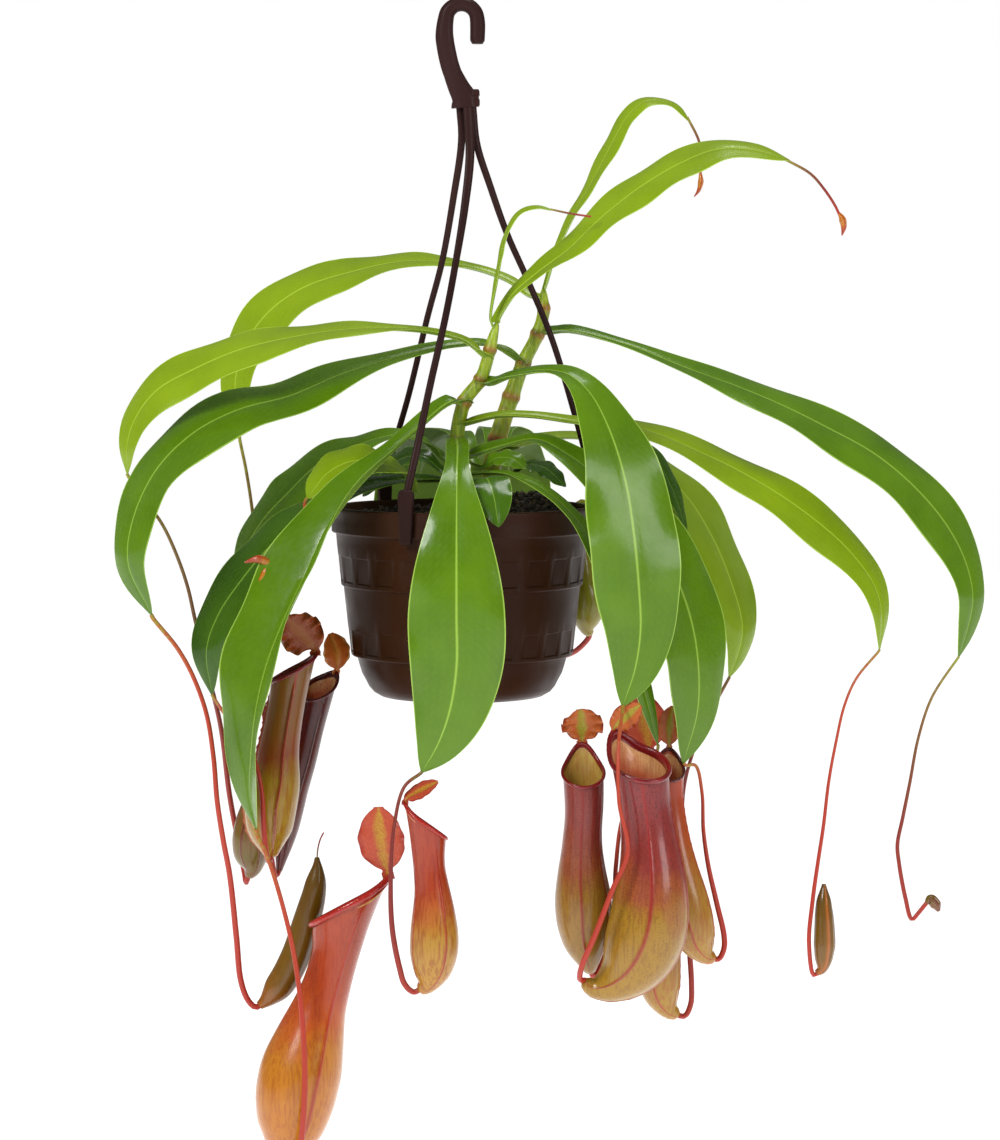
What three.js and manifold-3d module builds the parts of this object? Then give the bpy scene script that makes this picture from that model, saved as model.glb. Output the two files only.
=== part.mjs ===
// A tropical pitcher plant in a hanging pot. Millimetres, +Z up, +Y to the back.
// The origin is the inside top of the hook, where it rests on a rod, and the pot's axis is x = y = 0.
import * as THREE from "three";
import { mergeVertices } from "three/addons/utils/BufferGeometryUtils.js";
import Module from "manifold-3d";

const wasm = await Module();
wasm.setup();

// Driving dimensions.
const RIM_Z = -293;
const BASE_Z = -407;
const RIM_R = 78;
const BASE_R = 45;
const WALL = 2;
const SOIL_Z = RIM_Z - 7;
const HOOK_INNER_R = 5.2;
const HOOK_BAR = 8.4;
const HOOK_DEPTH = 9;
const SHANK_BOTTOM_Z = -57;
const STRAND_R = 1.7;
const GAP = 0.3;
const LEAF_WIDTH = 56;
const LEAF_THICKNESS = 1.4;
const LEAF_EDGE = 0.6;
const LEAF_STATIONS = 13;
const TENDRIL_R = 1.1;
const PITCHER_WALL = 1.6;
const PITCHER_SIDES = 10;
const PITCHER_STATIONS = 9;

const plant = new THREE.Group();

const finish = {
  plastic: { color: 0x3a2419, roughness: 0.35, metalness: 0 },
  compost: { color: 0x1e1712, roughness: 0.95, metalness: 0 },
  leaf: { color: 0x4f9420, roughness: 0.3, metalness: 0 },
  youngLeaf: { color: 0x8db61a, roughness: 0.35, metalness: 0 },
  stem: { color: 0x8a9a26, roughness: 0.5, metalness: 0 },
  tendril: { color: 0xb8402c, roughness: 0.4, metalness: 0 },
  pitcher: { color: 0xb5523a, roughness: 0.35, metalness: 0 },
  darkPitcher: { color: 0x4e1a17, roughness: 0.4, metalness: 0 },
};

function add(name, geometry, look) {
  const mesh = new THREE.Mesh(geometry, new THREE.MeshStandardMaterial(look));
  mesh.name = name;
  plant.add(mesh);
}

const at = (p) => new THREE.Vector3(p[0], p[1], p[2]);
const lerp = THREE.MathUtils.lerp;
const curveThrough = (points) => new THREE.CatmullRomCurve3(points.map(at), false, "centripetal");

// The value at t of a list of numbers spread evenly along a piece.
function along(values, t) {
  const s = THREE.MathUtils.clamp(t, 0, 1) * (values.length - 1);
  const i = Math.floor(s);
  return lerp(values[i], values[Math.min(i + 1, values.length - 1)], s - i);
}

// A closed skin over rings of points. Each end is closed by a fan round its middle, or on a sheet,
// whose rings run along one side and back along the other, by a strip from side to side.
function loft(rings, isSheet = false) {
  const n = rings[0].length;
  const points = rings.flat();
  const faces = [];
  for (let i = 0; i + 1 < rings.length; i++) {
    for (let j = 0; j < n; j++) {
      const a = i * n + j;
      const b = i * n + ((j + 1) % n);
      faces.push(a, b, a + n, b, b + n, a + n);
    }
  }
  const last = (rings.length - 1) * n;
  for (const [start, turned] of [[0, true], [last, false]]) {
    const cap = isSheet ? stripOver(n) : fanOver(n, points, start);
    for (const face of cap) {
      const corners = face.map((k) => k + start);
      faces.push(...(turned ? corners.reverse() : corners));
    }
  }
  const geometry = new THREE.BufferGeometry().setFromPoints(points);
  geometry.setIndex(faces);
  return facingOut(geometry);
}

function fanOver(n, points, start) {
  const centre = new THREE.Vector3();
  points.slice(start, start + n).forEach((p) => centre.addScaledVector(p, 1 / n));
  points.push(centre);
  const middle = points.length - 1 - start;
  return Array.from({ length: n }, (_, j) => [j, (j + 1) % n, middle]);
}

function stripOver(n) {
  return Array.from({ length: n / 2 - 1 }, (_, i) => [
    [i, i + 1, n - 1 - i],
    [i + 1, n - 2 - i, n - 1 - i],
  ]).flat();
}

// Turns every face round if the skin encloses a negative volume.
function facingOut(geometry) {
  const position = geometry.attributes.position;
  const index = geometry.index.array;
  const corner = (k) => new THREE.Vector3().fromBufferAttribute(position, index[k]);
  const origin = corner(0);
  let volume = 0;
  for (let k = 0; k < index.length; k += 3) {
    const [a, b, c] = [corner(k), corner(k + 1), corner(k + 2)].map((p) => p.sub(origin));
    volume += a.dot(b.cross(c));
  }
  if (volume < 0) geometry.setIndex([...index].reverse());
  geometry.computeVertexNormals();
  return geometry;
}

// The geometry with its positions and faces alone.
function bareOf(geometry) {
  const bare = new THREE.BufferGeometry();
  bare.setAttribute("position", geometry.attributes.position);
  bare.setIndex(geometry.index);
  return bare;
}

// Drops the faces that shrink to nothing where a turned profile meets its axis.
function withoutSlivers(geometry) {
  const index = geometry.index.array;
  const kept = [];
  for (let k = 0; k < index.length; k += 3) {
    const [a, b, c] = index.slice(k, k + 3);
    if (a !== b && b !== c && a !== c) kept.push(a, b, c);
  }
  geometry.setIndex(kept);
  return geometry;
}

// manifold-3d solids, for joining two closed skins into one.
function solid(geometry) {
  const merged = mergeVertices(bareOf(geometry), 1e-3);
  const vertProperties = merged.attributes.position.array;
  const triVerts = new Uint32Array(merged.index.array);
  return new wasm.Manifold(new wasm.Mesh({ numProp: 3, vertProperties, triVerts }));
}

function fromSolid(made) {
  const mesh = made.getMesh();
  const geometry = new THREE.BufferGeometry();
  geometry.setAttribute("position", new THREE.BufferAttribute(mesh.vertProperties, 3));
  geometry.setIndex(new THREE.BufferAttribute(mesh.triVerts, 1));
  geometry.computeVertexNormals();
  return geometry;
}

const join = (first, second) => fromSolid(solid(first).add(solid(second)));

// Frames along a curve: the place, the way on, the way across and the side that faces `faces`.
function frames(curve, steps, faces) {
  return Array.from({ length: steps }, (_, i) => {
    const t = i / (steps - 1);
    const place = curve.getPointAt(t);
    const on = curve.getTangentAt(t);
    const up = new THREE.Vector3(...[0, 1, 2].map((k) => along(faces.map((f) => f[k]), t)));
    up.addScaledVector(on, -up.dot(on)).normalize();
    const across = new THREE.Vector3().crossVectors(on, up);
    return { t, place, on, up, across };
  });
}

// A round rod or stalk through the points, with a radius that may change along it.
function rod(points, radii, sides = 6, steps = 12) {
  const rings = frames(curveThrough(points), steps, [[0.3, -1, 0.2]]).map((f) =>
    Array.from({ length: sides }, (_, j) => {
      const angle = (2 * Math.PI * j) / sides;
      const r = along(radii, f.t);
      return f.place.clone()
        .addScaledVector(f.across, r * Math.cos(angle))
        .addScaledVector(f.up, r * Math.sin(angle));
    }));
  return loft(rings);
}

// ---- Pot: a moulded bucket with a rim band and two small steps in its wall.
const potOutside = [
  [0, BASE_Z],
  [BASE_R, BASE_Z],
  [53.5, BASE_Z + 3],
  [58, BASE_Z + 10],
  [61.5, -393],
  [63, -383],
  [66.5, -382],
  [71, -341],
  [72.5, -340],
  [75.5, -309],
  [RIM_R, -308],
  [RIM_R, RIM_Z - 1.5],
  [RIM_R - 1, RIM_Z],
];
const potInside = [
  [RIM_R - 3.2, RIM_Z],
  [RIM_R - 4.4, -309],
  [70.4, -338],
  [64, -380],
  [59, -393],
  [54, -401],
  [BASE_R, BASE_Z + WALL],
  [0, BASE_Z + WALL],
];
const profile = [...potOutside, ...potInside].map(([r, z]) => new THREE.Vector2(r, z));
const pot = mergeVertices(bareOf(new THREE.LatheGeometry(profile, 32)), 1e-3);
pot.rotateX(Math.PI / 2);
add("pot", facingOut(withoutSlivers(pot)), finish.plastic);

// ---- Compost: fills the pot to just under the rim, a little domed.
const soilProfile = [
  [0, BASE_Z + WALL + GAP],
  [BASE_R - 1, BASE_Z + WALL + GAP],
  [58, -393],
  [63, -380],
  [69.4, -338],
  [72.6, SOIL_Z - 3],
  [60, SOIL_Z],
  [30, SOIL_Z + 3],
  [0, SOIL_Z + 4],
].map(([r, z]) => new THREE.Vector2(r, z));
const soil = mergeVertices(bareOf(new THREE.LatheGeometry(soilProfile, 24)), 1e-3);
soil.rotateX(Math.PI / 2);
add("soil", facingOut(withoutSlivers(soil)), finish.compost);

// ---- Hanger: one moulding in the real object, a hook whose shank widens to a foot, with three strands
// clipped to the rim.
const hookMid = HOOK_INNER_R + HOOK_BAR / 2;
const hookPath = [[hookMid, 0, -19.2]];
for (let angle = 0; angle <= 180; angle += 30) {
  const a = THREE.MathUtils.degToRad(angle);
  hookPath.push([hookMid * Math.cos(a), 0, hookMid * Math.sin(a) - HOOK_INNER_R]);
}
hookPath.push([-10.1, 0, -14], [-8.8, 0, -23.5], [-6.2, 0, -34], [-2, 0, -44]);
hookPath.push([1.7, 0, -51.5], [2.2, 0, SHANK_BOTTOM_Z + 0.4]);
const hookBars = [8.6, 9, HOOK_BAR, HOOK_BAR, 9.4, 10.8, 11, 11, 13.2, 16.6];
const hookRings = frames(curveThrough(hookPath), 22, [[0, -1, 0]]).map((f) => {
  const w = along(hookBars, f.t) / 2;
  const d = HOOK_DEPTH / 2;
  const bevel = 2.4;
  return [[w, d - bevel], [w - bevel, d], [bevel - w, d], [-w, d - bevel],
    [-w, bevel - d], [bevel - w, -d], [w - bevel, -d], [w, bevel - d]].map(([u, v]) =>
    f.place.clone().addScaledVector(f.across, u).addScaledVector(f.up, v));
});
add("hanger_hook", loft(hookRings), finish.plastic);

// Each strand leaves the underside of the foot, bows out and ends in a flat tab outside the rim.
const strandTop = SHANK_BOTTOM_Z - GAP;
const strands = {
  hanger_strand_front: {
    turn: 247,
    points: [[4, -2.6, strandTop], [5, -5, -85], [2, -12, -115], [-3, -23, -147], [-9, -38, -180],
      [-18, -55, -221], [-26, -70, -260]],
  },
  hanger_strand_left: {
    turn: 127,
    points: [[-1, 2.4, strandTop], [0, 5, -75], [-5, 13, -109], [-12, 22, -147], [-21, 34, -180],
      [-33, 49, -228], [-43, 60, -262]],
  },
  hanger_strand_right: {
    turn: 7,
    points: [[6.6, 0, strandTop], [9, 1, -78], [17, 2, -103], [27, 4, -131], [40, 6, -160],
      [54, 7, -194], [68, 9, -240], [74, 9.5, -262]],
  },
};
for (const [name, { turn, points }] of Object.entries(strands)) {
  const a = THREE.MathUtils.degToRad(turn);
  const out = RIM_R + 2.4;
  const end = [out * Math.cos(a), out * Math.sin(a), -284];
  const strand = rod([...points, end], [STRAND_R, STRAND_R], 8, 22);
  const tab = new THREE.BoxGeometry(3, 8, 31);
  tab.rotateZ(a);
  tab.translate((out + 0.2) * Math.cos(a), (out + 0.2) * Math.sin(a), -296);
  add(name, join(strand, tab), finish.plastic);
}

// ---- Stems: two leaning shoots, thicker at the leaf nodes.
const stemA = [[-4, -8, -295], [-4, -10, -270], [-3, -12, -252], [2, -14, -230], [11, -15, -218],
  [15, -15, -207], [18, -15, -195], [21, -15, -186]];
const stemB = [[16, 14, -295], [18, 16, -270], [22, 18, -252], [29, 20, -230], [37, 21, -208],
  [45, 21, -192], [49, 21, -178], [49, 21, -166]];
add("stem_front", rod(stemA, [6, 5.6, 5.2, 4.8, 4.4, 3.8], 8, 14), finish.stem);
add("stem_back", rod(stemB, [7, 7, 7, 6, 5, 4.6, 4.2], 8, 14), finish.stem);

// ---- Leaves. Each blade follows its midrib's points from the stem to the tip. `faces` gives the way
// its upper side looks, from base to tip, `wide` its full width at the widest place, and `neck` the
// share of its length that stays a narrow petiole.
// A blade is narrow where it clasps the stem, widest past the middle and pointed at the tip.
const BASE_SHARE = 0.24;
const WIDEST_AT = 0.55;
function bladeShare(t) {
  if (t < WIDEST_AT) {
    return BASE_SHARE + (1 - BASE_SHARE) * Math.sin((Math.PI / 2) * (t / WIDEST_AT)) ** 1.5;
  }
  return Math.max(0.035, (1 - ((t - WIDEST_AT) / (1 - WIDEST_AT)) ** 2) ** 0.75);
}

// A thin curved sheet along the points. The two halves rise from the midrib as a shallow V by `fold`
// and sag at the margins by `sag`, both as shares of the half width.
function blade({ points, faces, wide = LEAF_WIDTH, neck = 0, fold = [0.35, 0.1, 0.04, 0.04],
  sag = 0.12, share = bladeShare, steps = LEAF_STATIONS }) {
  const rings = frames(curveThrough(points), steps, faces).map((f) => {
    const half = (wide / 2) * share(Math.max(0, (f.t - neck) / (1 - neck)));
    const v = along(fold, f.t);
    const thick = Math.min(LEAF_THICKNESS, half);
    const rise = (part) => half * (v * Math.abs(part) - sag * part * part);
    const spot = (part, under) => f.place.clone()
      .addScaledVector(f.across, half * part)
      .addScaledVector(f.up, rise(part) - under);
    const edge = Math.min(LEAF_EDGE, thick);
    const upper = [-1, -0.5, 0, 0.5, 1].map((part) => spot(part, 0));
    const under = [1, 0.5, 0, -0.5, -1].map((part) => spot(part, Math.abs(part) === 1 ? edge : thick));
    return [...upper, ...under];
  });
  return loft(rings, true);
}

const leaves = {
  leaf_left_top: {
    points: [[41, 26, -167], [28, 31, -158], [5, 38, -150], [-32, 46, -146], [-69, 52, -153],
      [-99, 56, -163], [-121, 58, -179], [-135, 58, -200], [-140, 55, -222], [-137, 52, -252]],
    faces: [[0, -0.2, 1], [0, -0.3, 1], [-0.4, -0.55, 1], [-0.9, -0.95, 0.4], [-0.8, -1, 0]],
    wide: 44,
    neck: 0.1,
    look: finish.youngLeaf,
  },
  leaf_left_middle: {
    points: [[12, -19, -201], [3, -20, -194], [-10, -23, -190], [-30, -29, -187], [-65, -38, -187],
      [-100, -42, -192], [-129, -44, -199], [-155, -45, -210], [-178, -45, -223], [-191, -44, -240],
      [-196, -42, -256], [-196, -40, -272]],
    faces: [[0, -0.2, 1], [0, -0.3, 1], [-0.2, -0.45, 1], [-0.8, -0.9, 0.8], [-1, -0.8, 0]],
    wide: 42,
    neck: 0.12,
    look: finish.youngLeaf,
  },
  leaf_left_large: {
    points: [[29, 15, -202], [17, 3, -196], [-7, -6, -197], [-36, -14, -203], [-69, -26, -213],
      [-100, -38, -226], [-130, -50, -234], [-155, -60, -247], [-176, -68, -268], [-189, -74, -296],
      [-192, -76, -322], [-179, -73, -352]],
    faces: [[0, -0.3, 1], [0, -0.4, 1], [-0.3, -0.7, 1], [-1, -0.8, 0.6], [-0.9, -0.9, 0]],
    wide: 50,
    neck: 0.12,
    look: finish.leaf,
  },
  leaf_left_behind: {
    points: [[-12, -6, -263], [-21, -11, -254], [-39, -13, -250], [-64, -11, -257], [-86, -8, -268],
      [-105, -9, -286], [-119, -7, -301], [-131, -7, -321], [-139, -7, -341]],
    faces: [[0, -0.3, 1], [-0.3, -0.5, 1], [-0.7, -0.7, 0.7], [-1, -0.5, 0.3]],
    wide: 42,
    neck: 0.1,
    look: finish.leaf,
  },
  leaf_left_short: {
    points: [[-27, -37, -282], [-31, -42, -272], [-44, -44, -266], [-63, -44, -264], [-78, -45, -271],
      [-90, -49, -286]],
    faces: [[0.8, 0.2, 0.6], [-0.2, -0.6, 1], [-0.6, -0.8, 0.6]],
    wide: 34,
    look: finish.youngLeaf,
  },
  leaf_left_low: {
    points: [[-20, -20, -276], [-44, -29, -277], [-68, -38, -283], [-91, -44, -296], [-112, -46, -314],
      [-129, -45, -334], [-143, -45, -355], [-150, -44, -376], [-147, -42, -402]],
    faces: [[0, -0.3, 1], [-0.4, -0.5, 1], [-0.8, -0.9, 0.5], [-0.7, -1, 0]],
    wide: 42,
    look: finish.leaf,
  },
  leaf_front_left: {
    points: [[-3, -22, -229], [-10, -25, -232], [-21, -31, -241], [-33, -43, -251],
      [-45, -55, -262], [-63, -70, -281], [-78, -79, -303], [-91, -84, -332],
      [-103, -88, -358], [-112, -90, -382], [-118, -89, -408], [-121, -85, -433],
      [-122, -79, -456], [-119, -74, -477]],
    faces: [[-0.2, -0.4, 1], [-0.75, -0.5, 0.7], [-0.95, -0.6, 0.3], [-1.05, -0.62, 0.15],
      [-1.0, -0.6, 0.05]],
    wide: 62,
    neck: 0.16,
    fold: [0.35, 0.62, 0.62, 0.5, 0.3],
    look: finish.leaf,
  },
  leaf_front: {
    points: [[-3, -19, -252], [-2, -46, -257], [-2, -72, -268], [-2, -92, -290], [-2, -101, -318],
      [-2, -103, -350], [-2, -101, -379], [-6, -98, -405], [-13, -95, -425], [-22, -92, -441]],
    faces: [[0, -0.3, 1], [0, -1, 0.8], [0, -1, 0.1], [0.1, -1, -0.1]],
    neck: 0.2,
    look: finish.leaf,
  },
  leaf_front_right: {
    points: [[17, -21, -219], [27, -29, -215], [46, -42, -211], [62, -54, -213], [75, -64, -224],
      [86, -72, -245], [95, -78, -274], [100, -80, -305], [103, -80, -337], [104, -78, -360],
      [101, -76, -383], [94, -74, -405]],
    faces: [[0, -0.4, 1], [0.1, -0.5, 1], [0.4, -1, 0.6], [0.3, -1, 0.1], [0.1, -1, 0]],
    neck: 0.16,
    look: finish.leaf,
  },
  leaf_right_low: {
    points: [[5, -19, -262], [24, -20, -256], [44, -24, -252], [60, -31, -259], [82, -39, -275],
      [105, -45, -299], [124, -48, -328], [134, -50, -354], [139, -50, -381], [139, -48, -411],
      [131, -46, -442]],
    faces: [[0, -0.4, 1], [0.2, -0.5, 1], [0.7, -1, 0.6], [0.8, -1, 0.1], [0.6, -1, 0]],
    wide: 54,
    neck: 0.12,
    look: finish.leaf,
  },
  leaf_right_behind: {
    points: [[31, 9, -258], [45, 21, -254], [72, 33, -253], [101, 31, -261], [132, 27, -284],
      [151, 24, -312], [164, 22, -343], [170, 20, -367], [168, 18, -382], [162, 16, -398]],
    faces: [[0.1, -0.2, 1], [0.3, -0.3, 1], [0.9, -0.7, 0.5], [1, -0.8, 0.1]],
    wide: 52,
    neck: 0.1,
    look: finish.youngLeaf,
  },
  leaf_right_middle: {
    points: [[5, -17, -242], [22, -18, -238], [41, -20, -238], [71, -24, -242], [94, -28, -243],
      [114, -30, -248], [140, -32, -259], [163, -34, -270], [190, -36, -286], [213, -38, -303],
      [229, -38, -318], [243, -38, -337], [248, -37, -354], [247, -36, -376]],
    faces: [[0, -0.3, 1], [0.1, -0.3, 1], [0.2, -0.42, 1], [0.6, -0.8, 0.8], [1, -0.6, 0]],
    wide: 42,
    neck: 0.12,
    look: finish.youngLeaf,
  },
  leaf_right_large: {
    points: [[52, 19, -189], [64, 13, -188], [100, 6, -197], [133, 0, -210], [166, -4, -222],
      [192, -8, -233], [218, -12, -246], [245, -16, -261], [269, -20, -281], [288, -24, -304],
      [299, -26, -326], [303, -27, -346], [300, -27, -365], [295, -27, -381]],
    faces: [[0, -0.3, 1], [0.1, -0.4, 1], [0.2, -0.5, 1], [0.5, -0.7, 0.9], [1, -0.8, 0.2]],
    wide: 50,
    neck: 0.12,
    look: finish.leaf,
  },
  leaf_crown_long: {
    points: [[4, -34, -272], [25, -48, -271], [43, -60, -277], [59, -67, -288], [74, -66, -306],
      [88, -58, -340], [102, -52, -380], [111, -46, -412], [116, -42, -432]],
    faces: [[0.1, -0.3, 1], [0.6, -0.6, 1], [0.8, -1, 0.3], [0.3, -1, 0]],
    wide: 18,
    look: finish.youngLeaf,
  },
  leaf_crown_front: {
    points: [[11, -40, -285], [11, -52, -276], [15, -66, -273], [19, -80, -282], [22, -89, -300]],
    faces: [[0, -0.2, 1], [0, -0.6, 1], [0, -1, 0.3]],
    wide: 24,
    look: finish.leaf,
  },
  leaf_crown_blunt: {
    points: [[12, -29, -269], [20, -34, -263], [30, -39, -263], [38, -43, -269]],
    faces: [[0, -0.8, 1], [0.2, -0.8, 1]],
    wide: 15,
    look: finish.leaf,
  },
  leaf_crown_right: {
    points: [[29, 4, -274], [38, -2, -268], [50, -7, -270], [62, -12, -281]],
    faces: [[0, -0.3, 1], [0.5, -0.5, 1]],
    wide: 22,
    look: finish.leaf,
  },
  leaf_crown_left: {
    points: [[-12, -2, -272], [-22, 0, -264], [-34, 4, -264], [-48, 8, -273], [-60, 10, -288]],
    faces: [[0, -0.5, 1], [-0.5, -0.6, 1]],
    wide: 24,
    look: finish.leaf,
  },
  leaf_right_dark: {
    points: [[72, 5, -262], [88, 6, -254], [104, 6, -256], [118, 5, -268], [128, 3, -287],
      [135, 1, -309]],
    faces: [[0.1, -0.3, 1], [0.8, -0.7, 0.6], [1, -0.7, 0.1]],
    wide: 18,
    look: finish.leaf,
  },
  leaf_back: {
    points: [[20, 26, -264], [22, 40, -251], [24, 62, -250], [27, 84, -264], [30, 99, -292],
      [32, 105, -328], [34, 102, -364]],
    faces: [[0, 0.2, 1], [0, 0.6, 1], [0, 1, 0.5], [0, 1, 0]],
    wide: 50,
    look: finish.leaf,
  },
  leaf_back_left: {
    points: [[6, 24, -268], [-2, 40, -252], [-14, 60, -252], [-26, 78, -266], [-34, 90, -296],
      [-38, 95, -332], [-38, 92, -368]],
    faces: [[0, 0.2, 1], [-0.2, 0.6, 1], [-0.3, 1, 0.5], [-0.2, 1, 0]],
    wide: 48,
    look: finish.leaf,
  },
  leaf_top: {
    tendril: [[189, -33.7, -88.4], [204, -35, -97], [212, -36, -106], [218, -37, -115],
      [221, -37, -121]],
    points: [[21, -15, -182], [30, -17, -167], [46, -19, -153], [62, -21, -141], [82, -24, -122],
      [105, -27, -104], [131, -29, -89], [151, -31, -82], [172, -33, -83], [192, -34, -89]],
    faces: [[-0.6, -0.5, 1], [-0.5, -0.6, 1], [-0.3, -0.6, 1], [0.1, -0.5, 1]],
    wide: 38,
    look: finish.youngLeaf,
  },
  leaf_top_narrow: {
    tendril: [[136, 38, -60], [143, 38, -74], [145, 38, -85], [144, 38, -95]],
    points: [[51, 22, -158], [56, 24, -141], [67, 27, -118], [80, 30, -95], [91, 33, -74],
      [99, 35, -60], [109, 36, -51], [120, 37, -50], [129, 38, -53], [138, 38, -63]],
    faces: [[-1, -0.3, 0.5], [-0.8, -0.3, 0.6], [-0.5, -0.4, 0.8], [0.3, -0.4, 1]],
    wide: 21,
    look: finish.youngLeaf,
  },
  leaf_top_small: {
    tendril: [[52, -36, -117.6], [63, -37, -120], [76, -38, -122]],
    points: [[17, -20, -183], [20, -23, -160], [25, -25, -135], [29, -28, -125], [36, -31, -118],
      [44, -34, -116], [54, -36, -118]],
    faces: [[-1, -0.3, 0.2], [-0.9, -0.3, 0.4], [-0.2, -0.4, 1]],
    wide: 9,
    look: finish.youngLeaf,
  },
};
for (const [name, leaf] of Object.entries(leaves)) {
  const sheet = blade(leaf);
  const whole = leaf.tendril ? join(sheet, rod(leaf.tendril, [TENDRIL_R, 0.8], 6, 6)) : sheet;
  add(name, whole, leaf.look);
}

// ---- Tendrils: each leaf's midrib runs on past the tip as a thin stalk and carries a pitcher.
const tendrils = {
  tendril_left_top: [[-137, 52, -254.5], [-133, 50, -274], [-129, 46, -299], [-126, 38, -329],
    [-124, 26, -364], [-121, 8, -405], [-117, -12, -430], [-114, -27, -467], [-114, -28, -493],
    [-112.5, -24, -509], [-111, -20, -514]],
  tendril_left_middle: [[-195, -40, -274], [-185, -43, -288], [-176, -44, -300], [-169, -38, -316],
    [-162, -32, -338], [-158, -26, -359], [-152, -18, -389], [-145, -4, -426], [-141, 10, -470],
    [-136, 14, -500], [-132, 7, -517], [-130.5, -0.3, -521]],
  tendril_left_large: [[-178, -73, -354], [-164, -75, -371], [-155, -76, -387], [-147, -78, -409],
    [-143, -79, -434], [-141, -79, -460], [-138, -74, -484], [-135, -66, -506], [-132, -58, -544],
    [-130, -52, -571], [-126, -49.5, -583], [-121.6, -48.4, -587.4]],
  tendril_left_short: [[-91, -50, -288], [-91, -58, -297], [-96, -65, -310], [-104, -66, -319]],
  tendril_left_low: [[-146, -42, -403.5], [-139, -47, -413], [-128, -56, -424], [-120, -65, -439],
    [-116, -69, -455], [-115, -70, -473], [-114, -66, -490], [-112.5, -57, -499]],
  tendril_front_left: [[-119, -74, -479], [-112, -78, -493], [-99, -88, -535], [-93, -94, -568],
    [-90, -97, -609], [-91, -96, -643], [-94, -90, -666], [-98.6, -81.4, -677]],
  tendril_front: [[-23, -92, -442], [-32, -95, -449], [-38, -98, -472], [-40, -99, -506],
    [-39, -99, -532], [-35, -98, -554], [-32, -96, -564], [-27, -95, -568.6]],
  tendril_front_right: [[94, -75, -406], [91, -93, -424], [91, -101, -457], [96, -103, -485],
    [87, -104, -508], [77, -102, -535], [70, -96, -553], [69.4, -87, -563]],
  tendril_right_low: [[132, -46, -443.5], [138, -43, -444], [142, -42, -460], [143, -42, -483],
    [146, -42, -504], [151, -41, -526], [155.6, -40, -546], [155.6, -40, -554], [152.6, -40, -560]],
  tendril_right_behind: [[161.5, 16, -399], [154, 12, -412], [142, 4, -435], [133, -8, -464],
    [133, -14, -499], [136, -14, -529], [136.5, -14, -556], [138, -14, -581], [137.5, -14, -593],
    [134, -14, -600]],
  tendril_right_middle: [[246, -36, -377.5], [233, -38, -393], [226, -39, -409], [221, -40, -431],
    [217, -40, -454], [214, -40, -481], [211, -40, -502], [208, -40, -525], [206, -40, -550],
    [209.2, -37.6, -570.4]],
  tendril_right_large: [[294, -27, -382.5], [279, -29, -405], [271, -30, -429], [266, -31, -456],
    [262, -31, -477], [259, -31, -493], [260, -31, -504], [264, -31, -525], [268, -31, -538],
    [272, -31, -534], [276, -31, -529]],
  tendril_back: [[34.5, 102, -365.5], [42, 92, -382], [54, 78, -392], [68, 62, -388],
    [77.5, 51.5, -377.5]],
  tendril_inner: [[116, -41, -434], [110, -48, -447], [100, -55, -461], [94, -59, -475],
    [91, -52, -502], [90, -37, -533], [84, -42, -556], [77.6, -52.6, -567.6]],
};
for (const [name, points] of Object.entries(tendrils)) {
  const thick = 1.15 * TENDRIL_R;
  add(name, rod(points, [TENDRIL_R, TENDRIL_R, thick, 1.5 * TENDRIL_R], 6, points.length + 4),
    finish.tendril);
}

// ---- Pitchers. Each hangs from its tendril's end: a bent foot, a belly, a waist and a slanted mouth.
// `mouth` is the way the opening looks, and the rim rises by `peak` to the lid's hinge. The wall turns
// out at the rim and goes back down inside.
function openPitcher({ points, radii, mouth, peak = 0, lid }) {
  const opening = at(mouth).normalize();
  const turn = THREE.MathUtils.degToRad(lid.hinge);
  const ring = (f, radius, lift = 0) => {
    const slant = THREE.MathUtils.smoothstep(f.t, 0.6, 1);
    const normal = f.on.clone().lerp(opening, slant).normalize();
    return Array.from({ length: PITCHER_SIDES }, (_, j) => {
      const angle = (2 * Math.PI * j) / PITCHER_SIDES;
      const spoke = f.across.clone().multiplyScalar(radius * Math.cos(angle))
        .addScaledVector(f.up, radius * Math.sin(angle));
      const rise = peak * slant * Math.max(0, Math.cos(angle - turn)) ** 4;
      const slide = rise - normal.dot(spoke) / Math.max(0.35, normal.dot(f.on));
      return f.place.clone().add(spoke).addScaledVector(f.on, slide).addScaledVector(opening, lift);
    });
  };
  const stations = frames(curveThrough(points), PITCHER_STATIONS, [[0, -1, 0.1]]);
  const radiusAt = (f) => along(radii, f.t);
  const top = stations[stations.length - 1];
  const rimR = radiusAt(top);
  const rings = stations.map((f) => ring(f, radiusAt(f)));
  rings.push(ring(top, rimR + 2.2, 0.2), ring(top, rimR + 0.6, 1.8));
  for (const f of [...stations].reverse().slice(0, -2)) rings.push(ring(f, radiusAt(f) - PITCHER_WALL));
  const spoke = top.across.clone().multiplyScalar(rimR * Math.cos(turn))
    .addScaledVector(top.up, rimR * Math.sin(turn));
  const hinge = top.place.clone().add(spoke)
    .addScaledVector(top.on, peak - opening.dot(spoke) / Math.max(0.35, opening.dot(top.on)));
  const reach = [[0, 0, -1], ...lid.reach].map((p) => at(p).add(hinge).toArray());
  const lidBlade = { points: reach, faces: [lid.faces], wide: lid.wide, share: lidShare };
  return join(loft(rings), blade({ ...lidBlade, fold: [0.1, 0.1], steps: 8 }));
}

// A lid is an oval on a short neck.
function lidShare(t) {
  const neck = 0.14;
  if (t < neck) return 0.2;
  const s = (t - neck) / (1 - neck);
  return Math.max(0.2, Math.sin(Math.PI * s ** 0.8) ** 0.6);
}

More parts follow.
